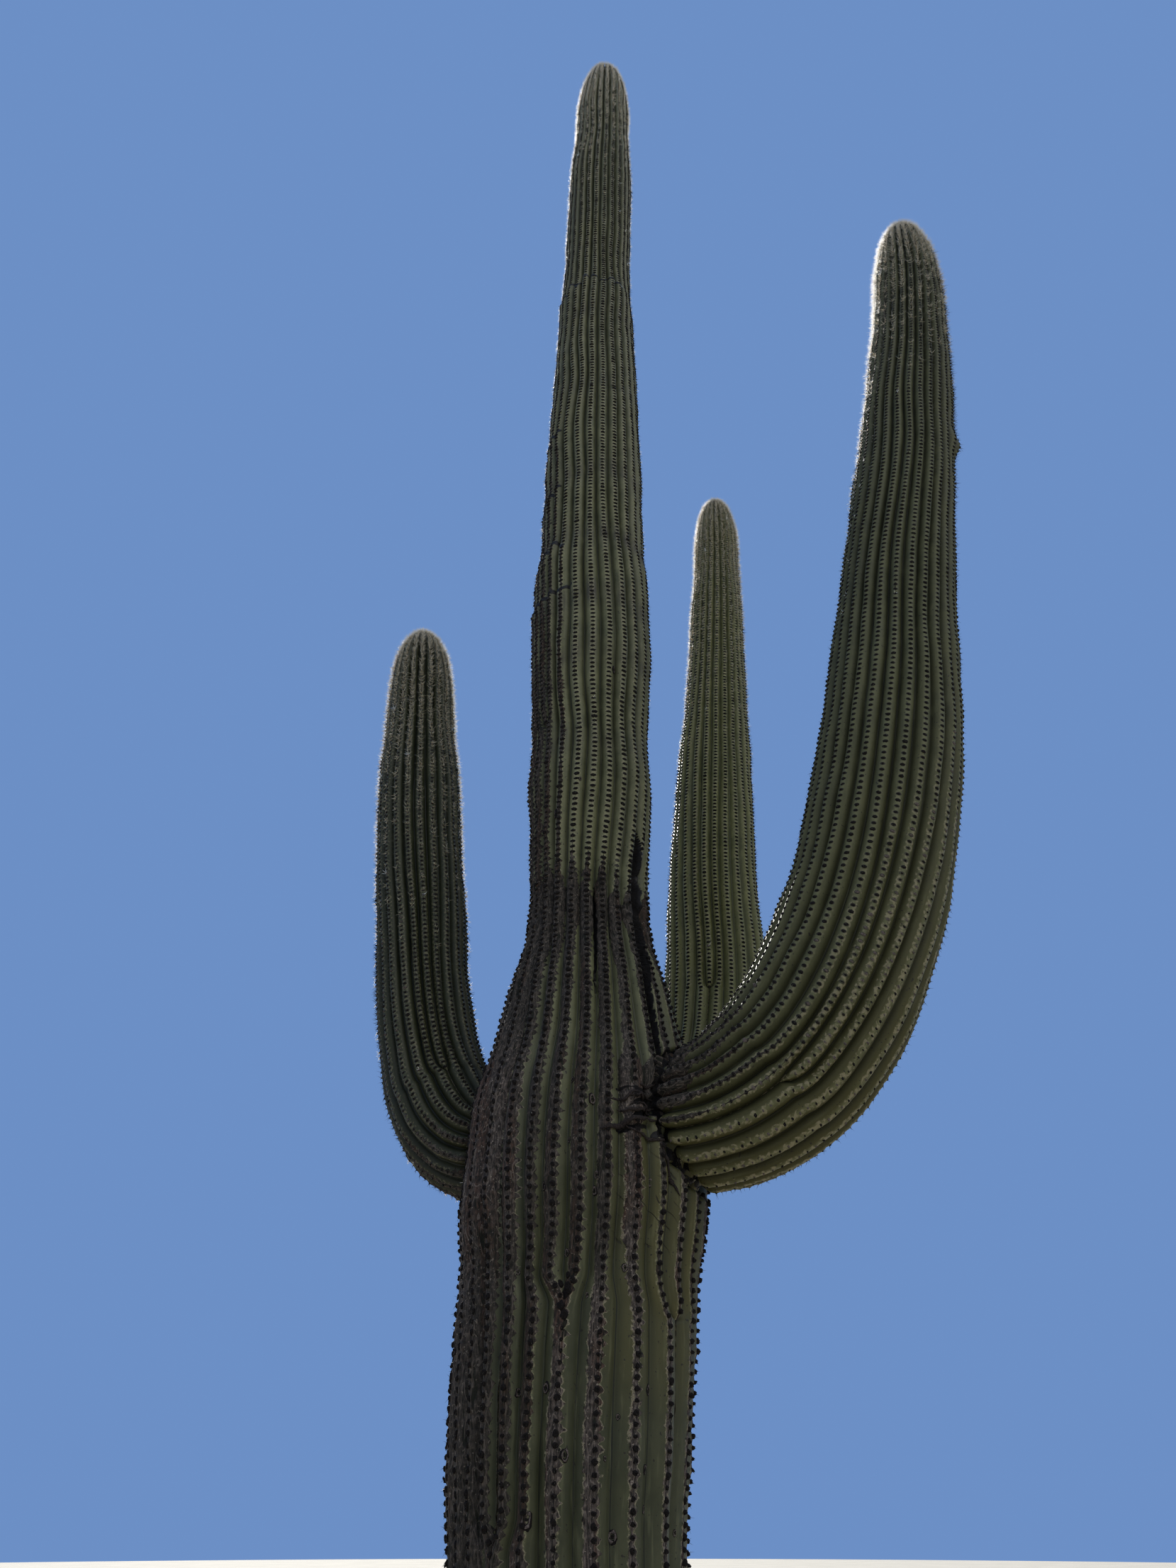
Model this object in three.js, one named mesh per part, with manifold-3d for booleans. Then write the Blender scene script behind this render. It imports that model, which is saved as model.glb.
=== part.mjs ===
// A tall saguaro cactus, rooted in the ground: one ribbed trunk and three arms.
// Millimetres, +Z up. The origin is the middle of the flat cut at ground level.
// The front, the side that is looked at most, faces -Y. The right arm goes to +X.

import * as THREE from "three";
import { mergeVertices } from "three/addons/utils/BufferGeometryUtils.js";
import Module from "manifold-3d";

const wasm = await Module();
wasm.setup();

// Driving sizes of the trunk.
const TRUNK_HEIGHT = 9437;
const TRUNK_DOME = 621;
const TRUNK_RIBS = 20;
const TRUNK_RING_STEP = 250;
const GROUND_STEPS = [0, 90, 220];

// Sideways lean of the trunk's middle line: height, shift towards +X.
const TRUNK_LEAN = [
  [0, 0], [1500, -3], [2600, 47], [3600, 52], [5000, 68], [6500, 85], [8000, 119], [9437, 154],
];

// Distance from the middle line to the rib crests: height, radius.
// A low flare at the ground, a barrel at the arms, a tight neck above them,
// and one waist for each hard season further up.
const TRUNK_GIRTH = [
  [0, 318], [90, 298], [220, 288], [800, 284], [1450, 297], [1700, 316], [1900, 326], [2100, 331],
  [2320, 360], [2550, 351], [2750, 300], [2950, 255], [3120, 212], [3280, 198], [3600, 214],
  [4000, 229], [4350, 235], [4700, 229], [5100, 227], [5800, 217], [6400, 193], [7000, 172],
  [7500, 171], [8050, 179], [8500, 166], [9437, 160],
];

// Driving sizes of the arms. The middle line is two cubic curves: the bend, from inside
// the trunk to where the arm stands up, and the rise, from there to the tip.
// Girth is distance along the middle line, radius to the rib crests.
const RIGHT_ARM = {
  name: "right_arm",
  bend: [[100, -58, 2520], [340, -124, 2516], [840, -261, 2282], [1137, -325, 4063]],
  riseHandle: 880,
  rise: [[1547, -354, 5873], [1601, -358, 6874]],
  girth: [[0, 180], [250, 205], [500, 236], [900, 250], [1300, 247], [1700, 240], [2300, 214],
    [3000, 198], [3700, 184], [4300, 166], [5000, 160]],
  dome: 660,
  ribs: 24,
  split: 1560,
};
const LEFT_ARM = {
  name: "left_arm",
  bend: [[-50, 64, 2570], [-303, 182, 2391], [-481, 266, 2557], [-553, 300, 3233]],
  riseHandle: 511,
  rise: [[-640, 319, 4013], [-685, 323, 4792]],
  girth: [[0, 140], [250, 160], [450, 177], [700, 168], [1000, 167], [1400, 174], [1800, 171],
    [2200, 143], [2700, 138]],
  dome: 378,
  ribs: 20,
  split: 860,
};
const BACK_ARM = {
  name: "back_arm",
  bend: [[150, 190, 2780], [400, 520, 2700], [551, 710, 2700], [561, 720, 3500]],
  riseHandle: 374,
  rise: [[705, 739, 5169], [736, 742, 6125]],
  girth: [[0, 140], [300, 160], [650, 190], [1000, 200], [1500, 184], [2000, 168], [2600, 146],
    [3100, 133], [3400, 118], [3900, 114]],
  dome: 385,
  ribs: 20,
  split: 960,
};

// Sizes that all limbs share.
const GROOVE_DEPTH = 22;
const GROOVE_SHARE = 0.14;
const DOME_POWER = 2.5;
const DOME_RINGS = 6;
const BEND_RING_STEP = 125;
const RISE_RING_STEP = 290;
const SPLIT_GAP = 0.3;
const TRUNK_CLEARANCE = 0.5;
const SPINE_SAMPLES = 240;

const SKIN = { color: 0x6f7a55, roughness: 0.62, metalness: 0 };
const OLD_SKIN = { color: 0x6b6654, roughness: 0.75, metalness: 0 };

// Smooth curve through a list of [at, value], with no overshoot between them.
function smoothThrough(stations, at) {
  const last = stations.length - 1;
  if (at <= stations[0][0]) return stations[0][1];
  if (at >= stations[last][0]) return stations[last][1];
  const slope = (i) => (stations[i + 1][1] - stations[i][1]) / (stations[i + 1][0] - stations[i][0]);
  const tangent = (i) => {
    if (i === 0) return slope(0);
    if (i === last) return slope(last - 1);
    const before = slope(i - 1);
    const after = slope(i);
    return before * after <= 0 ? 0 : (2 * before * after) / (before + after);
  };
  let i = 0;
  while (at > stations[i + 1][0]) i += 1;
  const span = stations[i + 1][0] - stations[i][0];
  const t = (at - stations[i][0]) / span;
  const rise = t * t * (3 - 2 * t);
  return stations[i][1] * (1 - rise) + stations[i + 1][1] * rise
    + span * tangent(i) * t * (1 - t) * (1 - t)
    - span * tangent(i + 1) * t * t * (1 - t);
}

// How far a limb has closed to its rounded tip: 1 on the body, 0 at the very tip.
function domeFactor(at, length, dome) {
  const u = Math.max(0, (at - (length - dome)) / dome);
  return Math.sqrt(Math.max(0, 1 - Math.pow(u, DOME_POWER)));
}

// Places of the rings along a limb: even on the body, closer and closer in the dome.
function ringStops(start, end, length, dome, step) {
  const bodyEnd = Math.min(end, length - dome);
  const count = Math.max(1, Math.round((bodyEnd - start) / step));
  const stops = [];
  for (let i = 0; i <= count; i += 1) stops.push(start + ((bodyEnd - start) * i) / count);
  if (end <= bodyEnd) return stops;
  for (let i = 1; i <= DOME_RINGS; i += 1) {
    const left = 1 - i / DOME_RINGS;
    stops.push(length - dome * left * left);
  }
  return stops;
}

// One ring of a ribbed limb: crest and groove points in turn.
function ribbedRing(center, right, forward, crestRadius, ribs, grow) {
  const groove = Math.min(GROOVE_DEPTH, crestRadius * GROOVE_SHARE);
  const points = [];
  for (let i = 0; i < ribs * 2; i += 1) {
    const angle = (Math.PI * i) / ribs;
    const radius = crestRadius - (i % 2 === 0 ? 0 : groove) + grow;
    points.push(center.clone()
      .addScaledVector(right, radius * Math.cos(angle))
      .addScaledVector(forward, radius * Math.sin(angle)));
  }
  return points;
}

// A closed skin over a stack of rings, each end closed by a fan to its middle or tip.
function closedSkin(rings, firstCenter, lastCenter) {
  const size = rings[0].length;
  const positions = [];
  const faces = [];
  for (const ring of rings) for (const p of ring) positions.push(p.x, p.y, p.z);
  positions.push(firstCenter.x, firstCenter.y, firstCenter.z);
  positions.push(lastCenter.x, lastCenter.y, lastCenter.z);
  const foot = rings.length * size;
  const head = foot + 1;
  const top = (rings.length - 1) * size;
  for (let i = 0; i < size; i += 1) {
    const next = (i + 1) % size;
    for (let k = 0; k < rings.length - 1; k += 1) {
      const low = k * size;
      const high = low + size;
      faces.push(low + i, low + next, high + next);
      faces.push(low + i, high + next, high + i);
    }
    faces.push(foot, next, i);
    faces.push(head, top + i, top + next);
  }
  const geometry = new THREE.BufferGeometry();
  geometry.setAttribute("position", new THREE.Float32BufferAttribute(positions, 3));
  geometry.setIndex(faces);
  return geometry;
}

// The trunk, with level rings so that the cut at the ground is flat.
function trunkGeometry(grow) {
  const right = new THREE.Vector3(1, 0, 0);
  const forward = new THREE.Vector3(0, 1, 0);
  const groundTop = GROUND_STEPS[GROUND_STEPS.length - 1];
  const stops = ringStops(groundTop, TRUNK_HEIGHT, TRUNK_HEIGHT, TRUNK_DOME, TRUNK_RING_STEP);
  const heights = [...GROUND_STEPS.slice(0, -1), ...stops];
  const middle = (z) => new THREE.Vector3(smoothThrough(TRUNK_LEAN, z), 0, z);
  const tip = middle(TRUNK_HEIGHT);
  heights.pop();
  const rings = heights.map((z) => ribbedRing(
    middle(z), right, forward,
    smoothThrough(TRUNK_GIRTH, z) * domeFactor(z, TRUNK_HEIGHT, TRUNK_DOME), TRUNK_RIBS, grow,
  ));
  return closedSkin(rings, middle(0), tip);
}

// The middle line of an arm as even samples, each with its place, direction and two
// side directions that turn with the line and don't twist round it.
function armSpine(arm) {
  const bend = arm.bend.map((p) => new THREE.Vector3(...p));
  const rise = arm.rise.map((p) => new THREE.Vector3(...p));
  const standing = bend[3].clone().sub(bend[2]).normalize();
  const riseStart = bend[3].clone().addScaledVector(standing, arm.riseHandle);
  const line = new THREE.CurvePath();
  line.add(new THREE.CubicBezierCurve3(...bend));
  line.add(new THREE.CubicBezierCurve3(bend[3], riseStart, rise[0], rise[1]));
  const length = line.getLength();
  const samples = [];
  let side = new THREE.Vector3(0, 0, 1);
  for (let i = 0; i <= SPINE_SAMPLES; i += 1) {
    const center = line.getPointAt(i / SPINE_SAMPLES);
    const ahead = line.getTangentAt(i / SPINE_SAMPLES);
    side = side.clone().addScaledVector(ahead, -side.dot(ahead)).normalize();
    samples.push({ center, ahead, right: side, forward: ahead.clone().cross(side) });
  }
  return { length, samples };
}

// The spine at one distance along it, between its two nearest samples.
function spineAt(spine, at) {
  const place = Math.min(1, Math.max(0, at / spine.length)) * SPINE_SAMPLES;
  const low = Math.min(SPINE_SAMPLES - 1, Math.floor(place));
  const share = place - low;
  const a = spine.samples[low];
  const b = spine.samples[low + 1];
  const ahead = a.ahead.clone().lerp(b.ahead, share).normalize();
  const right = a.right.clone().lerp(b.right, share);
  right.addScaledVector(ahead, -right.dot(ahead)).normalize();
  return {
    center: a.center.clone().lerp(b.center, share),
    right,
    forward: ahead.clone().cross(right),
  };
}

// A length of arm between two distances along its middle line.
function armGeometry(arm, spine, start, end, step) {
  const stops = ringStops(start, end, spine.length, arm.dome, step);
  const reachesTip = end >= spine.length;
  if (reachesTip) stops.pop();
  const rings = stops.map((at) => {
    const { center, right, forward } = spineAt(spine, at);
    const radius = smoothThrough(arm.girth, at) * domeFactor(at, spine.length, arm.dome);
    return ribbedRing(center, right, forward, radius, arm.ribs, 0);
  });
  return closedSkin(rings, spineAt(spine, start).center, spineAt(spine, end).center);
}

function toSolid(geometry) {
  const merged = mergeVertices(geometry);
  const vertProperties = new Float32Array(merged.attributes.position.array);
  const triVerts = new Uint32Array(merged.index.array);
  return new wasm.Manifold(new wasm.Mesh({ numProp: 3, vertProperties, triVerts }));
}

function fromSolid(solid) {
  const mesh = solid.getMesh();
  const geometry = new THREE.BufferGeometry();
  geometry.setAttribute("position", new THREE.Float32BufferAttribute(mesh.vertProperties, 3));
  geometry.setIndex(Array.from(mesh.triVerts));
  return geometry;
}

function namedMesh(name, geometry, finish) {
  geometry.computeVertexNormals();
  const mesh = new THREE.Mesh(geometry, new THREE.MeshStandardMaterial(finish));
  mesh.name = name;
  return mesh;
}

// The bend of an arm is trimmed where it grows out of the trunk.
function armMeshes(arm, trunkKeepOut) {
  const spine = armSpine(arm);
  const bend = toSolid(armGeometry(arm, spine, 0, arm.split, BEND_RING_STEP)).subtract(trunkKeepOut);
  const rise = armGeometry(arm, spine, arm.split + SPLIT_GAP, spine.length, RISE_RING_STEP);
  return [
    namedMesh(`${arm.name}_bend`, fromSolid(bend), SKIN),
    namedMesh(`${arm.name}_rise`, rise, SKIN),
  ];
}

const cactus = new THREE.Group();
cactus.add(namedMesh("trunk", trunkGeometry(0), OLD_SKIN));
const trunkKeepOut = toSolid(trunkGeometry(TRUNK_CLEARANCE));
for (const arm of [RIGHT_ARM, LEFT_ARM, BACK_ARM]) {
  cactus.add(...armMeshes(arm, trunkKeepOut));
}

export default cactus;
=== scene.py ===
"""Looks of a tall saguaro cactus: ribbed skin with bark, areoles and spines, and the studio round it.

Metres, +Z up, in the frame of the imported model. The front, which faces the camera, is -Y.
A front angle is 0 towards -Y and grows to the right. A distance along a limb runs up its middle line.
"""

import math

import bpy
import numpy as np
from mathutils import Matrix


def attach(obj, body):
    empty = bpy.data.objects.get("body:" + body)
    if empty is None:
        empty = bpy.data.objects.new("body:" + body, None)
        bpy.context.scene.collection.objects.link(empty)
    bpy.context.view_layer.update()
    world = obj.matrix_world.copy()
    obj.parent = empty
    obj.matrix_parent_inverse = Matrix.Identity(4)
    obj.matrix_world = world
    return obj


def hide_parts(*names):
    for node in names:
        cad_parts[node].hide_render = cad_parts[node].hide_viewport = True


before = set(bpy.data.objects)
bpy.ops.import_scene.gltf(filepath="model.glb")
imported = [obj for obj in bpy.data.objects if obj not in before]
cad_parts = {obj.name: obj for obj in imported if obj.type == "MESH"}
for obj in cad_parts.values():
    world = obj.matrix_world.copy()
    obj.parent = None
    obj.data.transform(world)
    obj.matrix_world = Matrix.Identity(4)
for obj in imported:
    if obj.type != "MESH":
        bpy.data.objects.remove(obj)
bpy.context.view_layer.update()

# Ways in which the number of ribs changes going up: one rib forks into two, a new rib starts
# with a round finger tip in a groove, or a rib ends.
FORK, FINGER, STOP = "fork", "finger", "stop"

# A list of pairs that is 0 all along a limb.
NOWHERE = [(0, 0), (10, 0)]

# The limbs. Lists of pairs are distance along the limb and a value there.
# "anchor" is the front angle of one rib's crest; the other ribs follow from it.
# "lopsided" and "squeezed" widen the ribs towards the right and towards the front.
# "changes" are what happens, how far up, and at which front angle.
# "columns" are the points across a rib, where it shows most and elsewhere.
# "joint" is the stretch that meets other limbs. "sway" is how far the ribs wander, in degrees.
# "cuts" are where a new piece of skin starts. "pad" is the half width of an areole.
# "sunny" is the side towards the sun, with the most spines and the palest, pale as painted sunlight:
# # its front angle and half its reach.
# "collar" is how far bark covers an arm's foot, where its last strips end, and where its folds start.
TRUNK = {
    "name": "trunk",
    "front": -90,
    "lean": [(0, 0), (1.5, -.003), (2.6, .047), (3.6, .052), (5, .068), (6.5, .085), (8, .119),
             (9.437, .154)],
    "girth": [(0, .318), (.09, .298), (.22, .288), (.8, .284), (1.45, .297), (1.7, .316), (1.9, .326),
              (2.1, .331), (2.32, .36), (2.55, .351), (2.75, .3), (2.95, .255), (3.12, .212), (3.28, .198),
              (3.6, .212), (3.74, .221), (3.93, .213), (4.08, .22), (4.35, .235), (4.65, .234), (4.8, .229),
              (4.96, .2165), (5.15, .2135), (5.33, .213), (5.72, .2055), (6.15, .196), (6.4, .189), (7, .172),
              (7.5, .171), (8.05, .179), (8.5, .166), (9.437, .16)],
    "dome": .621,
    "joint": (1.9, 3.1),
    "ribs": 20,
    "columns": (18, 10),
    "anchor": [(0, 13), (1.5, 12), (1.86, 11), (2.2, 10.4), (2.5, 9), (2.83, 10.9), (3.2, 11.5), (3.69, 18),
               (5.3, 11), (9.4, 9)],
    "lopsided": [(0, .18), (1.9, .25), (2.3, .12), (3.5, 0)],
    "squeezed": [(0, -.05), (1.9, -.08), (2.3, -.14), (2.7, -.21), (3.5, 0)],
    "sway": [(0, .4), (3.3, .6), (3.9, 2.4), (4.6, 3), (5.3, 2.9), (6.3, 2.1), (9.4, 2.6)],
    "changes": [(FORK, 1.48, -29), (FINGER, 1.98, 58), (FORK, 1.995, -5), (FINGER, 3.95, -60)],
    "depth": [(0, .021), (2.6, .023), (2.9, .024), (3.2, .022), (4, .027), (6.5, .028), (9.4, .03)],
    "power": [(0, 1.9), (2.6, 2), (3.1, 2.2), (4, 2.9), (9.4, 3.1)],
    "areole_step": [(0, .026), (2.6, .024), (3, .021), (3.6, .02), (7, .021), (8.8, .02), (9.437, .011)],
    "ring_step": [(0, .0068), (3.3, .0065), (3.6, .0095), (9.437, .0095)],
    "cuts": (0, 1.5, 2.7, 4.4, 6.1, 7.8),
    "pad": .0075,
    "sunny": (-178, 112),
}
RIGHT_ARM = {
    "name": "right_arm",
    "front": 102,
    "bend": [(.1, -.058, 2.52), (.34, -.124, 2.516), (.84, -.261, 2.282), (1.137, -.325, 4.063)],
    "rise_handle": .88,
    "rise": [(1.547, -.354, 5.873), (1.601, -.358, 6.874)],
    "girth": [(0, .18), (.25, .205), (.5, .236), (.9, .25), (1.3, .247), (1.7, .24), (2.3, .214), (3, .198),
              (3.7, .184), (4.3, .166), (5, .16)],
    "dome": .66,
    "joint": (0, 1),
    "ribs": 24,
    "columns": (14, 9),
    "anchor": [(0, 2), (.6, 3), (2.5, 4), (3.1, 8), (3.5, 4), (5, 6)],
    "lopsided": [(0, .1), (1.2, .12), (2.2, 0)],
    "squeezed": NOWHERE,
    "sway": [(0, .3), (1.5, .6), (2.5, 1.8), (5, 2.2)],
    "changes": [(FINGER, .52, 12), (FINGER, 1.3, -95), (STOP, 4.0, 150)],
    "depth": [(0, .02), (.5, .031), (1.8, .032), (3, .031), (5, .03)],
    "power": [(0, 2.4), (.5, 2.8), (1.5, 3), (5, 3.1)],
    "areole_step": [(0, .022), (4.3, .021), (4.965, .011)],
    "ring_step": [(0, .0105), (4.965, .0105)],
    "cuts": (0, 1.56, 3.2),
    "pad": .0069,
    "sunny": (-150, 92),
    "collar": (.3, .75, .26),
}
LEFT_ARM = {
    "name": "left_arm",
    "front": -66,
    "bend": [(-.05, .064, 2.57), (-.303, .182, 2.391), (-.481, .266, 2.557), (-.553, .3, 3.233)],
    "rise_handle": .511,
    "rise": [(-.64, .319, 4.013), (-.685, .323, 4.792)],
    "girth": [(0, .14), (.25, .16), (.45, .177), (.7, .168), (1, .167), (1.4, .174), (1.8, .171), (2.2, .143),
              (2.7, .138)],
    "dome": .378,
    "joint": (0, .8),
    "ribs": 20,
    "columns": (12, 8),
    "anchor": [(0, 26), (2.65, 26)],
    "lopsided": NOWHERE,
    "squeezed": NOWHERE,
    "sway": [(0, .5), (1.2, 1.2), (2.6, 1.8)],
    "changes": [(FINGER, .53, 14), (FORK, 1.1, 160)],
    "depth": [(0, .017), (.5, .025), (2.6, .026)],
    "power": [(0, 2.4), (.5, 2.8), (2.6, 3)],
    "areole_step": [(0, .018), (2.1, .017), (2.647, .01)],
    "ring_step": [(0, .0095), (2.647, .0095)],
    "cuts": (0, .86),
    "pad": .0063,
    "sunny": (180, 115),
    "collar": (.22, .45, .24),
}
BACK_ARM = {
    "name": "back_arm",
    "front": 39,
    "bend": [(.15, .19, 2.78), (.4, .52, 2.7), (.551, .71, 2.7), (.561, .72, 3.5)],
    "rise_handle": .374,
    "rise": [(.705, .739, 5.169), (.736, .742, 6.125)],
    "girth": [(0, .14), (.3, .16), (.65, .19), (1, .2), (1.5, .184), (2, .168), (2.6, .146), (3.1, .133),
              (3.4, .118), (3.9, .114)],
    "dome": .385,
    "joint": (0, .7),
    "ribs": 22,
    "columns": (12, 8),
    "anchor": [(0, 10), (3.9, 10)],
    "lopsided": NOWHERE,
    "squeezed": NOWHERE,
    "sway": [(0, .5), (1.2, 1.2), (3.9, 2)],
    "changes": [(FINGER, .92, -8)],
    "depth": [(0, .015), (.6, .017), (1.8, .018), (3, .021), (3.9, .021)],
    "power": [(0, 2), (.6, 2.1), (2.5, 2.4), (3.9, 2.8)],
    "areole_step": [(0, .018), (3.3, .017), (3.867, .01)],
    "ring_step": [(0, .01), (3.867, .01)],
    "cuts": (0, .96, 2.4),
    "pad": .0063,
    "sunny": (180, 112),
    "collar": (.2, .45, .24),
}

# Shape of every limb's tip, and of ribs that fork, or that start or end in a groove.
DOME_POWER = 2.15
TIP_RADIUS = .006
FORK_LENGTH = .08
FORK_CROWDING = .28
FINGER_LENGTH = .075
FINGER_WIDTH = .8
RELAX_LENGTH = 1.2
LEAST_WIDTH = .012
UNEVEN_WIDTH = .05

# Points worked out along a limb's middle line, each of an arm's curves, a body and a dome.
LINE_SAMPLES = 241
CURVE_SAMPLES = 2000
BODY_SAMPLES, DOME_SAMPLES = 3000, 1500

# How far the skin stays inside the outline near a tip, where long spines fill it out.
FRINGE_ROOM = .011
FRINGE_START, FRINGE_FULL = 2.4, .9


def smooth_step(value, low, high):
    """0 below low, 1 above high, and a smooth rise between them."""
    share = np.clip((value - low) / (high - low), 0, 1)
    return share * share * (3 - 2 * share)


def smooth_through(stations, at):
    """Smooth curve through pairs of place and value, with no overshoot between them."""
    place, value = np.array(stations, float).T
    slope = np.diff(value) / np.diff(place)
    before, after = slope[:-1], slope[1:]
    same_way = before * after > 0
    both = np.where(same_way, before + after, 1)
    tangent = np.concatenate([slope[:1], np.where(same_way, 2 * before * after / both, 0), slope[-1:]])
    at = np.clip(np.asarray(at, float), place[0], place[-1])
    low = np.clip(np.searchsorted(place, at) - 1, 0, len(place) - 2)
    span = place[low + 1] - place[low]
    share = (at - place[low]) / span
    rise = share * share * (3 - 2 * share)
    bend = tangent[low] * share * (1 - share) ** 2 - tangent[low + 1] * share**2 * (1 - share)
    return value[low] * (1 - rise) + value[low + 1] * rise + span * bend


def along(at, stops, line):
    """Points of a line at given distances, from those at its stops."""
    return np.stack([np.interp(at, stops, part) for part in line.T], axis=-1)


def unit(vectors):
    """Vectors made one long."""
    return vectors / np.maximum(np.linalg.norm(vectors, axis=-1, keepdims=True), 1e-12)


def square_to(vectors, outward):
    """Directions turned so that they are at right angles to others."""
    return unit(vectors - outward * (outward * vectors).sum(-1, keepdims=True))


def wrapped(angle):
    """The same angle between -180 and 180 degrees."""
    return (angle + 180) % 360 - 180


def away(angle, other):
    """How far one angle is from another, whichever way round is shorter."""
    return np.abs(wrapped(angle - other))


def facing(angle, other):
    """Cosine of the turn from one front angle to another."""
    return np.cos(np.radians(angle - other))


class SmoothNoise:
    """Seeded smooth noise from -1 to 1, at points given by three numbers."""

    CELLS = 64

    def __init__(self, seed):
        self.table = np.random.default_rng(seed).uniform(-1, 1, (self.CELLS,) * 3)

    def __call__(self, *place):
        place = np.stack(np.broadcast_arrays(*(np.asarray(value, float) for value in place)))
        low = np.floor(place)
        share = place - low
        share = share * share * (3 - 2 * share)
        low = low.astype(int)
        total = np.zeros(place.shape[1:])
        for corner in np.ndindex(2, 2, 2):
            weight = 1.0
            for side, part in zip(corner, share):
                weight = weight * (part if side else 1 - part)
            total += weight * self.table[tuple((part + side) % self.CELLS for side, part in zip(corner, low))]
        return total

    def round_limb(self, angle, step, up):
        """Noise round a limb in cells about step degrees wide, with no seam at the back."""
        turn, reach = np.radians(angle), math.degrees(1) / step
        return self(reach * np.cos(turn), reach * np.sin(turn), up)


BODY_NOISE, RIB_NOISE, BARK_NOISE = (SmoothNoise(seed) for seed in (11, 12, 13))


# Limbs

class Limb:
    """One stem: its middle line with two side directions, its girth and its rounded tip."""

    def __init__(self, spec, at, middle, right, forward):
        self.spec = spec
        self.name = spec["name"]
        self.at = at
        self.length = at[-1]
        self.lines = (middle, right, forward)

    def places(self, at):
        """Middle, right and forward directions at distances along the limb."""
        return [along(at, self.at, line) for line in self.lines]

    def outward(self, right, forward, angle):
        """Directions out of the middle line at front angles."""
        theta = np.radians(self.spec["front"] + angle)[..., None]
        return np.cos(theta) * right[:, None] + np.sin(theta) * forward[:, None]

    def dome_factor(self, at):
        share = np.clip((at - (self.length - self.spec["dome"])) / self.spec["dome"], 0, 1)
        return np.sqrt(1 - share**DOME_POWER)

    def radius(self, at):
        """Distance from the middle line to the rib crests."""
        room = FRINGE_ROOM * smooth_step(at, self.length - FRINGE_START, self.length - FRINGE_FULL)
        return (self.value("girth", at) - room) * self.dome_factor(at)

    def value(self, key, at):
        """A value that the limb's description gives along its length."""
        return smooth_through(self.spec[key], at)


def trunk_limb(spec):
    at = np.linspace(0, spec["girth"][-1][0], LINE_SAMPLES * 4)
    middle = np.stack([smooth_through(spec["lean"], at), 0 * at, at], axis=-1)
    right = np.broadcast_to([1.0, 0, 0], middle.shape)
    forward = np.broadcast_to([0, 1.0, 0], middle.shape)
    return Limb(spec, at, middle, right, forward)


def bezier(points):
    first, second, third, last = np.array(points, float)
    t = np.linspace(0, 1, CURVE_SAMPLES)[:, None]
    return ((1 - t) ** 3 * first + 3 * (1 - t) ** 2 * t * second
            + 3 * (1 - t) * t**2 * third + t**3 * last)


def arm_limb(spec):
    """An arm along its two curves, with side directions that don't twist round the line."""
    bend_end = np.array(spec["bend"][3])
    standing = unit(bend_end - np.array(spec["bend"][2]))
    rise = [bend_end, bend_end + standing * spec["rise_handle"], *spec["rise"]]
    line = np.concatenate([bezier(spec["bend"]), bezier(rise)[1:]])
    run = np.concatenate([[0], np.cumsum(np.linalg.norm(np.diff(line, axis=0), axis=1))])
    at = np.linspace(0, run[-1], LINE_SAMPLES)
    middle = along(at, run, line)
    ahead = unit(np.gradient(middle, at, axis=0))
    side = np.array([0, 0, 1.0])
    sides = []
    for direction in ahead:
        side = unit(side - direction * side.dot(direction))
        sides.append(side)
    right = np.array(sides)
    return Limb(spec, at, middle, right, np.cross(ahead, right))


def ring_stops(limb):
    """Places of the mesh's rings, evenly spaced along the skin, dome included."""
    dome = limb.spec["dome"]
    body = np.linspace(0, limb.length - dome, BODY_SAMPLES)[:-1]
    closing = limb.length - dome * (1 - np.linspace(0, 1, DOME_SAMPLES)) ** 2
    fine = np.concatenate([body, closing])
    radius = limb.radius(fine)
    fine, radius = fine[radius > TIP_RADIUS], radius[radius > TIP_RADIUS]
    steps = np.hypot(np.diff(fine), np.diff(radius)) / limb.value("ring_step", fine[1:])
    count = np.concatenate([[0], np.cumsum(steps)])
    return np.interp(np.linspace(0, count[-1], int(count[-1]) + 1), count, fine)


# Ribs

def new_rib(at):
    """A rib's width, how far it stands out of its groove, and how far it is one with its neighbour."""
    return {"width": np.ones(len(at)), "rise": np.ones(len(at)), "joined": np.zeros(len(at)), "arm": 0}


def rib_edges(limb, at, ribs):
    """Front angles of the grooves at each ring, from the anchor rib's left one once round."""
    width = np.stack([rib["width"] for rib in ribs])
    anchor = limb.value("anchor", at)
    middle = anchor + 360 * (np.cumsum(width, axis=0) - (width + width[0]) / 2) / width.sum(axis=0)
    turn = np.radians(middle)
    rightward = limb.value("lopsided", at) * np.sin(turn)
    frontward = limb.value("squeezed", at) * np.cos(turn)
    width = width * (1 + rightward + frontward)
    width = width * 360 / width.sum(axis=0)
    start = anchor - width[0] / 2
    return np.concatenate([[start], start + np.cumsum(width, axis=0)])


def crowd(ribs, index, given):
    """The ribs beside one give way to it."""
    for side in (index - 1, (index + 1) % len(ribs)):
        ribs[side]["width"] = ribs[side]["width"] - given


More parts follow.
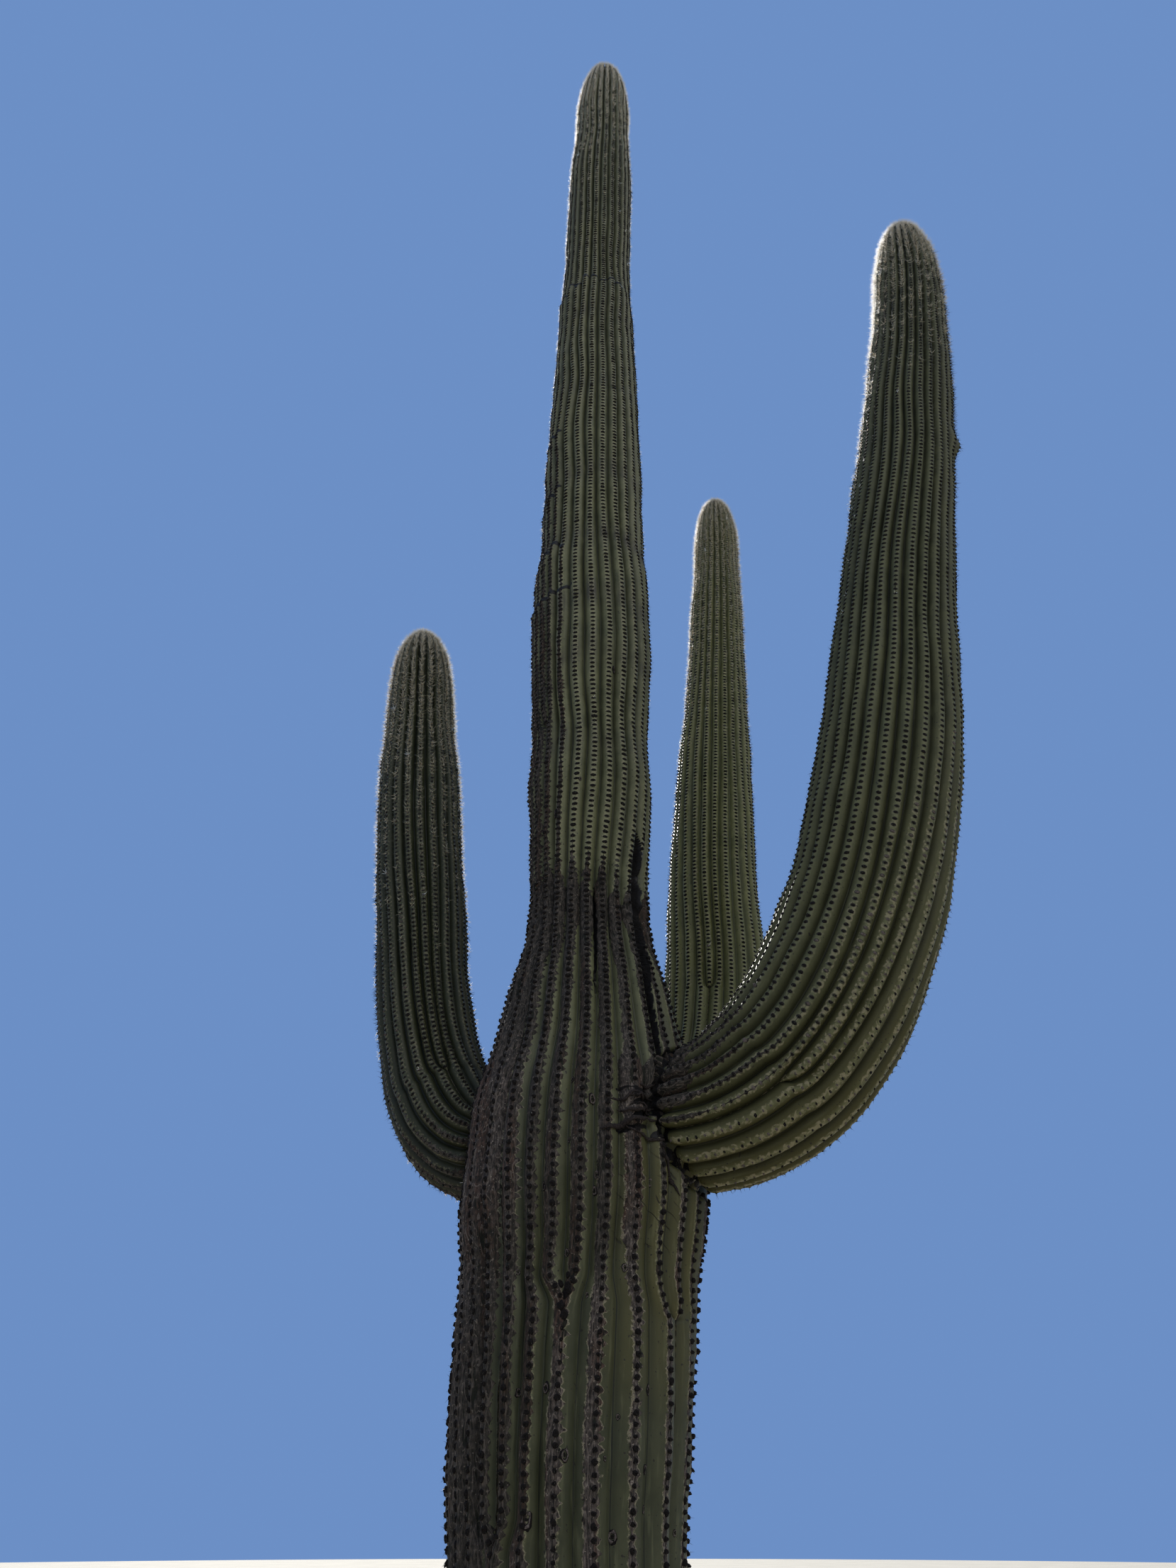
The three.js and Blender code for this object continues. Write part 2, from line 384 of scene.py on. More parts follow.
def fork_rib(ribs, index, at, height):
    """The rib at index is one rib below height and two above it."""
    old, new = ribs[index], new_rib(at)
    fast = smooth_step(at, height, height + FORK_LENGTH)
    slow = smooth_step(at, height + FORK_LENGTH, height + FORK_LENGTH + RELAX_LENGTH)
    share = .5 + FORK_CROWDING * fast + (.5 - FORK_CROWDING) * slow
    crowd(ribs, index, FORK_CROWDING * fast * (1 - slow))
    joined = 1 - smooth_step(at, height - FORK_LENGTH / 4, height + FORK_LENGTH)
    new["width"], old["width"] = old["width"] * share, old["width"] * share
    old.update(joined=joined, arm=1)
    new.update(joined=joined, arm=-1)
    ribs.insert(index + 1, new)


def taper_rib(ribs, index, beyond):
    """The rib at index is there only beyond its round finger tip."""
    tip = np.clip(beyond / FINGER_LENGTH, 0, 1)
    tip = np.sqrt(1 - (1 - tip) ** 2)
    slow = smooth_step(beyond, FINGER_LENGTH, FINGER_LENGTH + RELAX_LENGTH)
    crowd(ribs, index, FINGER_WIDTH / 2 * tip * (1 - slow))
    rib = ribs[index]
    rib["width"] = rib["width"] * (FINGER_WIDTH * tip + (1 - FINGER_WIDTH) * slow)
    rib["rise"] = rib["rise"] * tip


def plan_ribs(limb, at):
    """The ribs in order round the limb, from the anchor rib to the right, and their groove angles."""
    ribs = [new_rib(at) for _ in range(limb.spec["ribs"])]
    for kind, height, angle in limb.spec["changes"]:
        edges = rib_edges(limb, at, ribs)[:, int(np.searchsorted(at, height))]
        groove = int(np.argmin(away(edges[:-1], angle))) or len(ribs)
        crest = int(np.argmin(away((edges[1:] + edges[:-1]) / 2, angle)))
        if kind == FINGER:
            ribs.insert(groove, new_rib(at))
            taper_rib(ribs, groove, at - height)
        elif kind == FORK:
            fork_rib(ribs, crest, at, height)
        else:
            taper_rib(ribs, crest, height - at)
    sway = limb.value("sway", at)
    for number, rib in enumerate(ribs):
        uneven = 1 + UNEVEN_WIDTH * sway * RIB_NOISE(number * 7.3, at / .35, 2)
        rib["width"] = np.maximum(rib["width"], LEAST_WIDTH) * uneven
    return ribs, rib_edges(limb, at, ribs) + .8 * sway * RIB_NOISE(.5, at / .4, 40)


# How much closer areoles lie on the inside of a bend, and how far apart the ribs' counts start.
BEND_SPREAD = .45
COUNT_APART = 500


def areole_phase(limb, at, crest_angle):
    """How many areoles each crest has had up to each ring. Whole numbers are areoles. The ribs'
    counts start far apart, so that no two ribs share a pattern."""
    middle, right, forward = limb.places(at)
    outward = limb.outward(right, forward, crest_angle)
    crests = middle[:, None] + limb.radius(at)[:, None, None] * outward
    body = middle[:, None] + limb.value("girth", at)[:, None, None] * outward
    run = np.linalg.norm(np.diff(crests, axis=0), axis=-1)
    stretch = np.linalg.norm(np.diff(body, axis=0), axis=-1) / np.diff(at)[:, None]
    step = limb.value("areole_step", at[1:])[:, None] * np.maximum(stretch, .2) ** (1 - BEND_SPREAD)
    ribs = crest_angle.shape[1]
    start = np.random.default_rng(21).uniform(0, 1, ribs) + COUNT_APART * np.arange(ribs)
    return start + np.concatenate([np.zeros((1, ribs)), np.cumsum(run / step, axis=0)])


# Bark, wounds and other marks. Each function takes front angles and distances along the limb.

def trunk_bark(angle, at):
    """How far bark reaches left and right of a crest on the trunk, in half rib widths."""
    left_side = smooth_step(facing(angle, -105), .36, .62)
    nearly_left = smooth_step(facing(angle, -105), -.1, .36)
    right_side = smooth_step(facing(angle, 105), .15, .55)
    slim = smooth_step(facing(angle, 105), -.05, .3)
    ragged = BARK_NOISE.round_limb(angle, 11, at / .09)
    frayed = BARK_NOISE.round_limb(angle, 3, at / .02)
    low = 1 - smooth_step(at + .07 * ragged + .04 * frayed, 3.16, 3.36)
    waist = smooth_step(at + .06 * ragged, 2.85, 3.1)
    neck = smooth_step(at + .07 * ragged, 3.06, 3.2)
    foot = 1 - smooth_step(at + .1 * ragged, .3, 1.35)
    barrel = smooth_step(at, 1.9, 2.3) * (1 - .6 * right_side)
    left = .55 - .37 * slim + .32 * nearly_left + .6 * left_side
    left = left + .2 * barrel + .25 * waist + .6 * neck + .8 * foot
    right = .2 + .2 * nearly_left + .95 * left_side + .12 * barrel + .2 * waist + .65 * neck + .9 * foot
    near_worn = nearly_left * (1 - smooth_step(at + .3 * ragged, 3.9, 5.2))
    far_worn = left_side * (1 - smooth_step(at + .3 * ragged, 4.9, 6.3))
    left = low * left + (1 - low) * (.36 * near_worn + .38 * far_worn)
    right = low * right + (1 - low) * (.28 * near_worn + .3 * far_worn)
    by_collar = smooth_step(at, 2.46, 2.5) * (1 - smooth_step(at, 2.6, 2.66))
    by_collar = by_collar * (1 - smooth_step(away(angle, 30), 12, 17))
    return left + .9 * by_collar, right + .9 * by_collar


def arm_bark(limb, angle, at):
    """Bark at an arm's collar, which reaches furthest along the ribs of its upper side."""
    collar, end, _ = limb.spec["collar"]
    ragged = BARK_NOISE.round_limb(angle, 12, at / .08)
    first = 1 - smooth_step(at + .03 * ragged, collar - .04, collar + .03)
    upper = smooth_step(facing(angle, -80), -.1, .8)
    strip = (1 - smooth_step(at + .1 * ragged, collar + .04, end)) * upper
    return first * upper + .4 * strip + .03, first * upper + .28 * strip + .02


# Old wounds of the trunk: front angle, half width and depth up their height.
WOUNDS = [
    {"angle": [(2.4, 41), (2.62, 41.5), (2.8, 43.5), (2.95, 46), (3.07, 49), (3.18, 53), (3.3, 57),
               (3.43, 56), (3.55, 54.5)],
     "half": [(2.4, 0), (2.5, .01), (2.7, .013), (2.95, .015), (3.07, .019), (3.16, .026), (3.26, .034),
              (3.36, .028), (3.47, .016), (3.56, 0)],
     "depth": [(2.4, .02), (2.9, .03), (3.15, .045), (3.4, .045), (3.56, .02)]},
    {"angle": [(2.8, 5), (2.92, 4), (3.05, 5.4), (3.26, 4)],
     "half": [(2.82, 0), (2.9, .003), (3, .0045), (3.12, .006), (3.18, .0045), (3.26, 0)],
     "depth": [(2.8, .01), (3.2, .018)]},
]

# Ledges left by hard seasons on the trunk: height, front angle, how far round each side, and size.
LEDGES = [(6.76, -20, 80, .008), (4.58, -55, 40, .009), (4.84, -60, 34, .006), (5.2, -70, 30, .006),
          (5.6, -72, 28, .005)]

# Heights on the upper trunk where hard seasons left a slight waist with darker crests, and how dark.
SEASONS = [(3.832, .5), (4.232, .75), (4.52, .9), (4.88, 1), (5.28, .8), (5.9, .35), (6.5, .5), (7.1, .35)]
SEASON_REACH = .055
SEASON_WAIST = .0035

# Torn folds beside the right arm's collar, and fine slanting cracks and yellowed skin below them:
# height of the middle and half the reach up, front angle and half the reach round.
TORN = (2.48, .09, 24, 17)
CRACKED = (2.25, .16, 31, 20)
YELLOWED = (2.12, .42, 48, 42)


def region(spot, angle, at):
    """1 in the middle of a region and 0 outside it."""
    height, reach_up, middle, reach_round = spot
    up = 1 - smooth_step(np.abs(at - height) / reach_up, .5, 1)
    return up * (1 - smooth_step(away(angle, middle) / reach_round, .55, 1))


def wound_mask(wound, angle, at, radius, spread=1.0):
    """1 inside a wound and 0 outside it."""
    half = spread * np.interp(at, *np.array(wound["half"]).T)
    across = np.radians(angle - smooth_through(wound["angle"], at)) * radius
    across = across + .004 * BARK_NOISE(at / .03, across / .05, 31) + .002 * BARK_NOISE(at / .011, 3, 33)
    return smooth_step(half - np.abs(across), 0, .35 * np.maximum(half, 1e-4)) * (half > .0005)


def season_marks(angle, at):
    """1 in the middle of each growth season's dark band on the upper trunk, 0 well outside."""
    marks = np.zeros(np.broadcast(angle, at).shape)
    patchy = .75 + .5 * BARK_NOISE.round_limb(angle, 14, at / .1)
    for number, (height, strength) in enumerate(SEASONS):
        over = at - height - .02 * BODY_NOISE.round_limb(angle, 25, 7.1 * number)
        marks = np.maximum(marks, strength * patchy * np.exp(-((over / SEASON_REACH) ** 2)))
    return np.clip(marks, 0, 1)


def trunk_damage(angle, at, radius):
    """Shape and darkness that the trunk's wounds, ledges, torn bark and neck add. The darkness is the
    wounds' dark wood with painted shade in them, a dark line along each ledge, and painted shade in
    the hollows of the torn folds and in the neck's sunken rungs.
    """
    shape = np.zeros(np.broadcast(angle, at).shape)
    dark = shape.copy()
    around = np.radians(angle) * radius
    fibres = BARK_NOISE(around / .009, at / .05, 0)
    for wound in WOUNDS:
        depth = np.interp(at, *np.array(wound["depth"]).T) + .006 * fibres
        shape -= wound_mask(wound, angle, at, radius) * depth
        # The wound's dark wood and painted shade in it, reaching a little past its edge.
        dark = np.maximum(dark, wound_mask(wound, angle, at, radius, 1.25))
    for height, middle, reach, size in LEDGES:
        beside = 1 - smooth_step(away(angle, middle), .75 * reach, reach)
        over = at - height - .05 * BODY_NOISE(angle / 11, 3.3, height)
        shape += size * beside * (1 - smooth_step(over, 0, .015)) * smooth_step(over, -.3, 0)
        dark = np.maximum(dark, .95 * beside * (1 - smooth_step(np.abs(over), .003, .02)))
    torn = region(TORN, angle, at)
    folds = BARK_NOISE(around / .05, at / .017 - around / .06, 5)
    shape += torn * (.009 * folds + .003)
    # Painted shade in the hollows of the torn folds.
    dark = np.maximum(dark, torn * smooth_step(-folds, .1, .5))
    neck = smooth_step(at, 3.08, 3.16) * (1 - smooth_step(at, 3.34, 3.42))
    rungs = BARK_NOISE.round_limb(angle, 9, at / .012)
    shape += .0022 * neck * rungs - SEASON_WAIST * season_marks(angle, at)
    # Painted shade in the neck's sunken rungs.
    return shape, np.maximum(dark, .42 * neck * smooth_step(-rungs, .2, .5))


def collar_folds(limb, angle, at):
    """Shape of the folds across an arm's ribs where it grows out of the trunk, and painted shade in their
    hollows.
    """
    start = limb.spec["collar"][2]
    near = 1 - smooth_step(at, start + .05, start + .3)
    folds = BARK_NOISE.round_limb(angle, 35, at / .026)
    return near * .003 * folds, near * .3 * smooth_step(-folds, .45, .7)


# A stub on the outer side of the right arm: distance along it, front angle, reach and height.
KNOB = (3.28, 74, .05, .022)

# The crease where one limb meets another.
SEAM_WIDTH = .0155
SEAM_DEPTH = .034
GAP_SAMPLES = 60


def gap_to(limb, points):
    """Rough distance from points to another limb's skin near the joint, below 0 inside it."""
    at = np.linspace(*limb.spec["joint"], GAP_SAMPLES)
    gap = np.full(points.shape[:-1], np.inf)
    for centre, radius in zip(limb.places(at)[0], limb.radius(at) - .5 * limb.value("depth", at)):
        gap = np.minimum(gap, np.linalg.norm(points - centre, axis=-1) - radius)
    return gap


# Skin

AREOLE_BUMP = .003
BUMP_WIDTH = .011
BARK_RELIEF = .0026
DEEPEST_GROOVE = .3
WAVE_HEIGHT = .0044
SEEN_REACH = 95
LEAST_RADIUS = .02
# Numbers kept at each point for the material: dark carries the wounds' darkness and painted shade in creases
# and folds, yellow yellowed skin and painted bounce light.
ATTRIBUTES = ("half", "bark_left", "bark_right", "dark", "cracked", "yellow", "season")


class Skin:
    """A limb's skin as rings of points, with what its material and its areoles need to know."""

    def __init__(self, limb, neighbours):
        self.limb = limb
        self.at = ring_stops(limb)
        self.lay_ribs()
        self.lay_columns()
        self.raise_surface(neighbours)

    def lay_ribs(self):
        ribs, edges = plan_ribs(self.limb, self.at)
        self.count = len(ribs)
        self.arm = np.array([rib["arm"] for rib in ribs])
        self.rise, self.joined = (np.stack([rib[key] for rib in ribs], axis=1) for key in ("rise", "joined"))
        self.left, self.width = edges[:-1].T, np.diff(edges, axis=0).T
        self.crest = .5 + .5 * self.joined * self.arm
        crest_angle = self.left + self.width * self.crest
        self.crest_angle = wrapped(crest_angle)
        self.phase = areole_phase(self.limb, self.at, crest_angle)

    def lay_columns(self):
        """Columns of points in each rib, with their share across it and from its crest."""
        middle = self.crest_angle[len(self.at) // 2]
        self.columns = np.where(away(middle, 0) < SEEN_REACH, *self.limb.spec["columns"])
        self.rib = np.repeat(np.arange(self.count), self.columns)
        self.first_column = np.concatenate([[0], np.cumsum(self.columns)[:-1]])
        self.u = (np.arange(len(self.rib)) - self.first_column[self.rib]) / self.columns[self.rib]
        self.reach = np.maximum(self.crest, 1 - self.crest)[:, self.rib]
        self.place = (self.u - self.crest[:, self.rib]) / self.reach
        self.next_place = self.place + 1 / self.columns[self.rib] / self.reach
        self.angle = wrapped(self.left[:, self.rib] + self.width[:, self.rib] * self.u)

    def hump(self):
        """Height of the skin across its rib, 0 in the grooves and 1 on the crest."""
        power = self.limb.value("power", self.at)[:, None]
        plain = 1 - np.abs(2 * self.u - 1) ** power
        toward = 1 - np.abs((self.arm > 0)[self.rib] - self.u) ** power
        joined = self.joined[:, self.rib]
        return (plain * (1 - joined) + toward * joined) * self.rise[:, self.rib]

    def ribbed_radius(self, at, crest_radius):
        """Distance from the middle line to the skin, with ribs, slow waves and a bump at each areole."""
        rib, dome, turn = self.rib, self.limb.dome_factor(at), np.radians(self.angle)
        depth = np.minimum(self.limb.value("depth", at), DEEPEST_GROOVE * crest_radius)
        depth = depth * (1 + .15 * RIB_NOISE(rib * 3.1, at / .5, 7))
        radius = crest_radius - depth * (1 - self.hump())
        wave = (BODY_NOISE(np.cos(turn) * 1.2, np.sin(turn) * 1.2, at / .2)
                + .6 * BODY_NOISE(0, rib * 5.3, at / .12) + .8 * BODY_NOISE(3.5, 7.5, at / .35))
        radius = radius + WAVE_HEIGHT * dome * wave
        near_areole = .5 + .5 * np.cos(2 * np.pi * self.phase[:, rib])
        bump = near_areole * np.exp(-((self.place * self.half / BUMP_WIDTH) ** 2))
        return radius + AREOLE_BUMP * (bump - .5) * self.rise[:, rib] * dome

    def bark_shape(self, spot):
        """Lumpy relief of the bark, raised off the skin."""
        x, y, z = spot[..., 0], spot[..., 1], spot[..., 2]
        edge = .12 * BARK_NOISE(x / .02, y / .02, z / .03)
        inside = np.minimum(self.bark_right - self.place, self.bark_left + self.place) + edge
        rough = (BARK_NOISE(x / .01, y / .01, z / .014) + .7 * BARK_NOISE(x / .022, y / .022, z / .035)
                 + .5 * BARK_NOISE(x / .007, y / .007, z / .05))
        return smooth_step(inside, 0, .16) * BARK_RELIEF * (.6 + rough)

    def knob_shape(self, at, crest_radius):
        knob_at, knob_angle, reach, height = KNOB
        across = np.radians(wrapped(self.angle - knob_angle)) * crest_radius
        return height * np.exp(-((at - knob_at) ** 2 + across**2) / reach**2)

    def raise_surface(self, neighbours):
        limb, at = self.limb, self.at[:, None]
        middle, right, forward = limb.places(self.at)
        outward = limb.outward(right, forward, self.angle)
        crest_radius = limb.radius(at)
        self.half = np.radians(self.width[:, self.rib]) * crest_radius * self.reach
        radius = self.ribbed_radius(at, crest_radius)
        crests = middle[:, None] + crest_radius[..., None] * outward
        if limb.name == "trunk":
            self.bark_left, self.bark_right = trunk_bark(self.angle, at)
            radius = radius + self.bark_shape(crests)
            shape, self.dark = trunk_damage(self.angle, at, np.maximum(radius, LEAST_RADIUS))
        else:
            self.bark_left, self.bark_right = arm_bark(limb, self.angle, at)
            radius = radius + self.bark_shape(crests)
            shape, self.dark = collar_folds(limb, self.angle, at)
        radius = radius + shape
        if limb.name == "right_arm":
            radius = radius + self.knob_shape(at, crest_radius)
        points = middle[:, None] + np.maximum(radius, .3 * TIP_RADIUS)[..., None] * outward
        seam = np.exp(-((self.gap_to_neighbours(neighbours, points) / SEAM_WIDTH) ** 2))
        self.points = points - (SEAM_DEPTH * seam)[..., None] * outward
        # Painted shade in the crease where one limb meets another.
        self.dark = np.maximum(self.dark, smooth_step(seam, .2, .75))
        self.normals = self.surface_normals(outward)
        self.colour_masks(at, outward)

    def colour_masks(self, at, outward):
        if self.limb.name == "trunk":
            self.points[0, :, 2] = 0
            self.cracked = region(CRACKED, self.angle, at)
            self.yellow = region(YELLOWED, self.angle, at)
            self.season = season_marks(self.angle, at)
        else:
            self.cracked = self.season = np.zeros(self.angle.shape)
            # On an arm, painted warm light bounced from the ground: on its underside and near its foot.
            self.yellow = smooth_step(-outward[..., 2], -.2, .7) + .45 * (1 - smooth_step(at, .8, 2.2))

    def gap_to_neighbours(self, neighbours, points):
        """Distance to the nearest other limb, worked out only on the stretch that meets one."""
        low, high = self.limb.spec["joint"]
        meets = np.flatnonzero((self.at >= low) & (self.at <= high))
        gap = np.ones(points.shape[:-1])
        for other in neighbours:
            gap[meets] = np.minimum(gap[meets], gap_to(other, points[meets]))
        return gap

    def surface_normals(self, outward):
        across = np.roll(self.points, -1, axis=1) - np.roll(self.points, 1, axis=1)
        normals = np.cross(across, np.gradient(self.points, axis=0))
        flat = np.linalg.norm(normals, axis=-1, keepdims=True) < 1e-9
        return unit(np.where(flat, outward, normals))

    def near(self, at, angle):
        """Point and normal of the skin nearest to places given as distance and front angle."""
        ring = np.clip(np.searchsorted(self.at, at), 0, len(self.at) - 1)
        column = np.argmin(away(self.angle[ring], np.asarray(angle)[:, None]), axis=1)
        return self.points[ring, column], self.normals[ring, column]


# Meshes

def plain(values, kind=np.float32):
    """One plain row of numbers, as meshes take them."""
    return np.ascontiguousarray(values, kind).ravel()


def add_object(name, data):
    thing = bpy.data.objects.new(name, data)
    bpy.context.scene.collection.objects.link(thing)
    return thing


def mesh_object(name, points, face_groups, materials):
    """A mesh piece from arrays of points and of faces with three or four corners."""
    mesh = bpy.data.meshes.new(name)
    corners = np.concatenate([faces.ravel() for faces in face_groups])
    sizes = np.concatenate([np.full(len(faces), faces.shape[1]) for faces in face_groups])
    mesh.vertices.add(len(points))
    mesh.vertices.foreach_set("co", plain(points))
    mesh.loops.add(len(corners))
    mesh.polygons.add(len(sizes))
    mesh.polygons.foreach_set("loop_start", plain(np.concatenate([[0], np.cumsum(sizes)[:-1]]), np.int32))
    mesh.polygons.foreach_set("vertices", plain(corners, np.int32))
    mesh.update(calc_edges=True)
    mesh.shade_smooth()
    for material in materials:
        mesh.materials.append(material)
    return add_object(name, mesh)


def corner_map(mesh, name, values):
    layer = mesh.uv_layers.new(name=name)
    layer.uv.foreach_set("vector", plain(values))


def quad_corners(left, right, low, high):
    """Two numbers for each corner of a grid of quads, from those of its sides and of its rings.
    Each is a pair: the number at the lower ring and at the upper one."""
    pairs = ((left[0], low), (right[0], low), (right[1], high), (left[1], high))
    shape = np.broadcast_shapes(left[0].shape, low.shape)
    corners = [np.stack([np.broadcast_to(part, shape) for part in pair], axis=-1) for pair in pairs]
    return np.stack(corners, axis=-2).reshape(-1, 2)


CAP_SHARE = .01


def skin_piece(skin, first, last, name, node, material):
    """The skin between two rings, closed where the limb itself starts or ends."""
    rings, total = last - first + 1, len(skin.rib)
    stretch = slice(first, last + 1)
    points, normals = skin.points[stretch].reshape(-1, 3), skin.normals[stretch].reshape(-1, 3)
    columns = np.arange(total)
    after = (columns + 1) % total
    low = (np.arange(rings - 1) * total)[:, None]
    quads = np.stack([low + columns, low + after, low + total + after, low + total + columns], axis=-1)
    phase = skin.phase[stretch][:, skin.rib]
    here, beyond = skin.place[stretch], skin.next_place[stretch]
    place = [quad_corners((here[:-1], here[1:]), (beyond[:-1], beyond[1:]), phase[:-1], phase[1:])]
    up = (CAP_SHARE + (1 - 2 * CAP_SHARE) * np.arange(rings) / (rings - 1))[:, None]
    flat = [quad_corners((columns / total,) * 2, ((columns + 1) / total,) * 2, up[:-1], up[1:])]
    groups = [quads.reshape(-1, 4)]
    caps = []
    if first == 0:
        caps.append((0, after, columns, CAP_SHARE, 0, -1))
    if last == len(skin.at) - 1:
        caps.append(((rings - 1) * total, columns, after, 1 - CAP_SHARE, 1, 1))
    for start, one, other, edge_up, middle_up, way in caps:
        lift = max(way, 0) * .3 * TIP_RADIUS
        groups.append(np.stack([start + one, start + other, np.full(total, len(points))], axis=-1))
        points = np.vstack([points, points[start:start + total].mean(axis=0) + (0, 0, lift)])
        normals = np.vstack([normals, (0, 0, way)])
        place.append(np.tile([[0, .5]], (total * 3, 1)))
        u = np.stack([columns, columns + 1, columns + .5], axis=-1) / total
        v = np.broadcast_to([edge_up, edge_up, middle_up], u.shape)
        flat.append(np.stack([u, v], axis=-1).reshape(-1, 2))
    piece = mesh_object(name, points, groups, [material])
    mesh = piece.data
    corner_map(mesh, "OFBake", np.concatenate(flat))
    corner_map(mesh, "RibPlace", np.concatenate(place))
    mesh.uv_layers["OFBake"].active = True
    mesh.uv_layers["OFBake"].active_render = True
    for key in ATTRIBUTES:
        values = getattr(skin, key)[stretch].reshape(-1)
        attribute = mesh.attributes.new(key, "FLOAT", "POINT")
        attribute.data.foreach_set("value", plain(np.concatenate([values, np.zeros(len(caps))])))
    mesh.normals_split_custom_set_from_vertices(normals)
    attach(piece, "root")
    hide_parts(node)


# Materials

class Wire:
    """What comes out of a shader node. Numbers can be added, multiplied and so on."""

    def __init__(self, nodes, socket):
        self.nodes = nodes
        self.socket = socket

    def __add__(self, other):
        return self.nodes.math("ADD", self, other)

    def __sub__(self, other):
        return self.nodes.math("SUBTRACT", self, other)

    def __rsub__(self, other):
        return self.nodes.math("SUBTRACT", other, self)

    def __mul__(self, other):
        return self.nodes.math("MULTIPLY", self, other)

    def __abs__(self):
        return self.nodes.math("ABSOLUTE", self)


class Nodes:
    """Short ways to add shader nodes to a material and join them."""

    def __init__(self, name):
        self.material = bpy.data.materials.new(name)
        self.material.use_nodes = True
        self.tree = self.material.node_tree
        self.shader = self.tree.nodes["Principled BSDF"]

    def put(self, socket, value):
        if isinstance(value, Wire):
            self.tree.links.new(value.socket, socket)
        elif socket.type == "RGBA":
            socket.default_value = (*value, 1)
        else:
            socket.default_value = value

    def add(self, kind, inputs=(), output=0, **settings):
        """A new node's output."""
        node = self.tree.nodes.new(f"ShaderNode{kind}")
        for key, value in settings.items():
            setattr(node, key, value)
        for socket, value in dict(inputs).items():
            self.put(node.inputs[socket], value)
        return Wire(self, node.outputs[output])

    def spot(self):
        return self.add("TexCoord", output="Object")

    def attribute(self, name):
        return self.add("Attribute", output="Fac", attribute_name=name)

    def math(self, operation, *values):
        return self.add("Math", enumerate(values), operation=operation)

    def part_of_step(self, value):
        """How far value is past the whole number below it."""
        return self.math("FRACT", value)

    def between(self, value, low, high):
        """0 where value is low and 1 where it is high."""
        return self.add("MapRange", {"Value": value, "From Min": low, "From Max": high}, "Result",
                        interpolation_type="SMOOTHSTEP")

    def noise(self, vector, scale, detail=3, roughness=.55):
        return self.add("TexNoise", {
            "Vector": vector, "Scale": scale, "Detail": detail, "Roughness": roughness}, "Fac")

    def mix(self, share, first, second):
        return self.add("Mix", {0: share, 6: first, 7: second}, 2, data_type="RGBA")

    def ramp(self, value, stops):
        colour = self.add("ValToRGB", {"Fac": value}, "Color")
        elements = colour.socket.node.color_ramp.elements
        while len(elements) < len(stops):
            elements.new(.5)
        for element, (position, stop_colour) in zip(elements, stops):
            element.position = position
            element.color = (*stop_colour, 1)
        return colour

    def combine(self, *parts):
        return self.add("CombineXYZ", enumerate(parts))

    def parts(self, vector):
        outputs = self.add("SeparateXYZ", {0: vector}).socket.node.outputs
        return [Wire(self, output) for output in outputs]

    def length(self, *parts):
        """Root of the sum of two squares."""
        first, second = (self.math("POWER", part, 2) for part in parts)
        return self.math("SQRT", first + second)

    def bump(self, height, distance, strength):
        return self.add("Bump", {"Height": height, "Distance": distance, "Strength": strength})

    def finish(self, colour, roughness, normal=None, specular=.2):
        self.put(self.shader.inputs["Base Color"], colour)
        self.put(self.shader.inputs["Roughness"], roughness)
        if normal is not None:
            self.put(self.shader.inputs["Normal"], normal)
        self.shader.inputs["Specular IOR Level"].default_value = specular
        return self.material


# Colours of the skin, as linear light.
# Near black: painted shade in creases and bark gaps, also mixed in to darken the lower skin and the bark of
# narrow ribs.
CREASE_SHADE = (.008, .009, .005)
# Dark stain of specks and cracks, also painted shade round each areole.
STAIN_AND_SHADE = (.014, .012, .009)
# Tint of yellowed skin, and of painted warm bounce light.
YELLOW_AND_BOUNCE_TINT = (.66, .58, .36)
# Tint that makes the skin paler and bluer.
PALER_BLUER = (1.75, 1.75, 1.9)
SEASON_SKIN = (.02, .015, .015)
BARK_STOPS = [(.34, (.006, .0048, .0041)), (.45, (.025, .0202, .0168)), (.56, (.069, .0555, .0455)),
              (.7, (.18, .147, .12))]
RED_BARK = (.06, .028, .017)
BARK_LINE = (.185, .15, .12)
BARK_FLECK = (.27, .225, .175)
BARK_RIM = (.28, .245, .16)
# Dark wound wood, also used for painted shade in creases and folds.
WOUND_AND_SHADE_STOPS = [(.36, (.002, .0017, .0014)), (.6, (.006, .0047, .004)), (.82, (.028, .021, .016))]
HALO = (.25, .215, .13)

# Sizes in metres that the skin's pattern goes by, and how much a dark spot is squashed upward.
# Heights between which the skin grows darker towards the bottom.
DARKER_FROM_HEIGHT, DARKEST_BELOW_HEIGHT = 3.1, 2.1
AREOLE_STEP = .021
WIDE_RIB, NARROW_RIB = .046, .034
SPOT_OUTSIDE, SPOT_INSIDE = .0092, .0074
CRUMBS_OUTSIDE, CRUMBS_INSIDE = .0145, .0115
SPOT_SQUASH = 1.45
RIM_FAR, RIM_NEAR = .0022, .0008
RELIEF = .0035
SPINE_GLOW_DEPTH = .003


def bark_edges(n, side, phase, spot):
    """How far inside the bark a place is, in half rib widths, and below 0 outside it. The right
    edge runs out in a lobe beside each areole."""
    beside = n.part_of_step(phase + n.noise(spot, 34, 2) * .9 + .05)
    lobe = (1 - abs(beside - .5) * 2) * (n.noise(spot, 23, 1) * .8 - .16)
    ragged = (n.noise(spot, 90, 3, .6) - .5) * .34
    patchy = (n.noise(spot, 9) - .5) * .5
    left, right = n.attribute("bark_left"), n.attribute("bark_right")
    worn = n.between(left, 0, .2)
    right_edge = right + worn * (ragged + patchy + lobe) - .06
    left_edge = left + worn * (ragged + patchy) - .02
    return n.math("MINIMUM", right_edge - side, left_edge + side)


def tinted(colour, factors):
    """A colour with each of its parts made stronger or weaker."""
    return tuple(part * factor for part, factor in zip(colour, factors))


def narrow_ribs(n):
    """1 on narrow ribs and 0 on wide ones."""
    return n.between(n.attribute("half"), WIDE_RIB, NARROW_RIB)


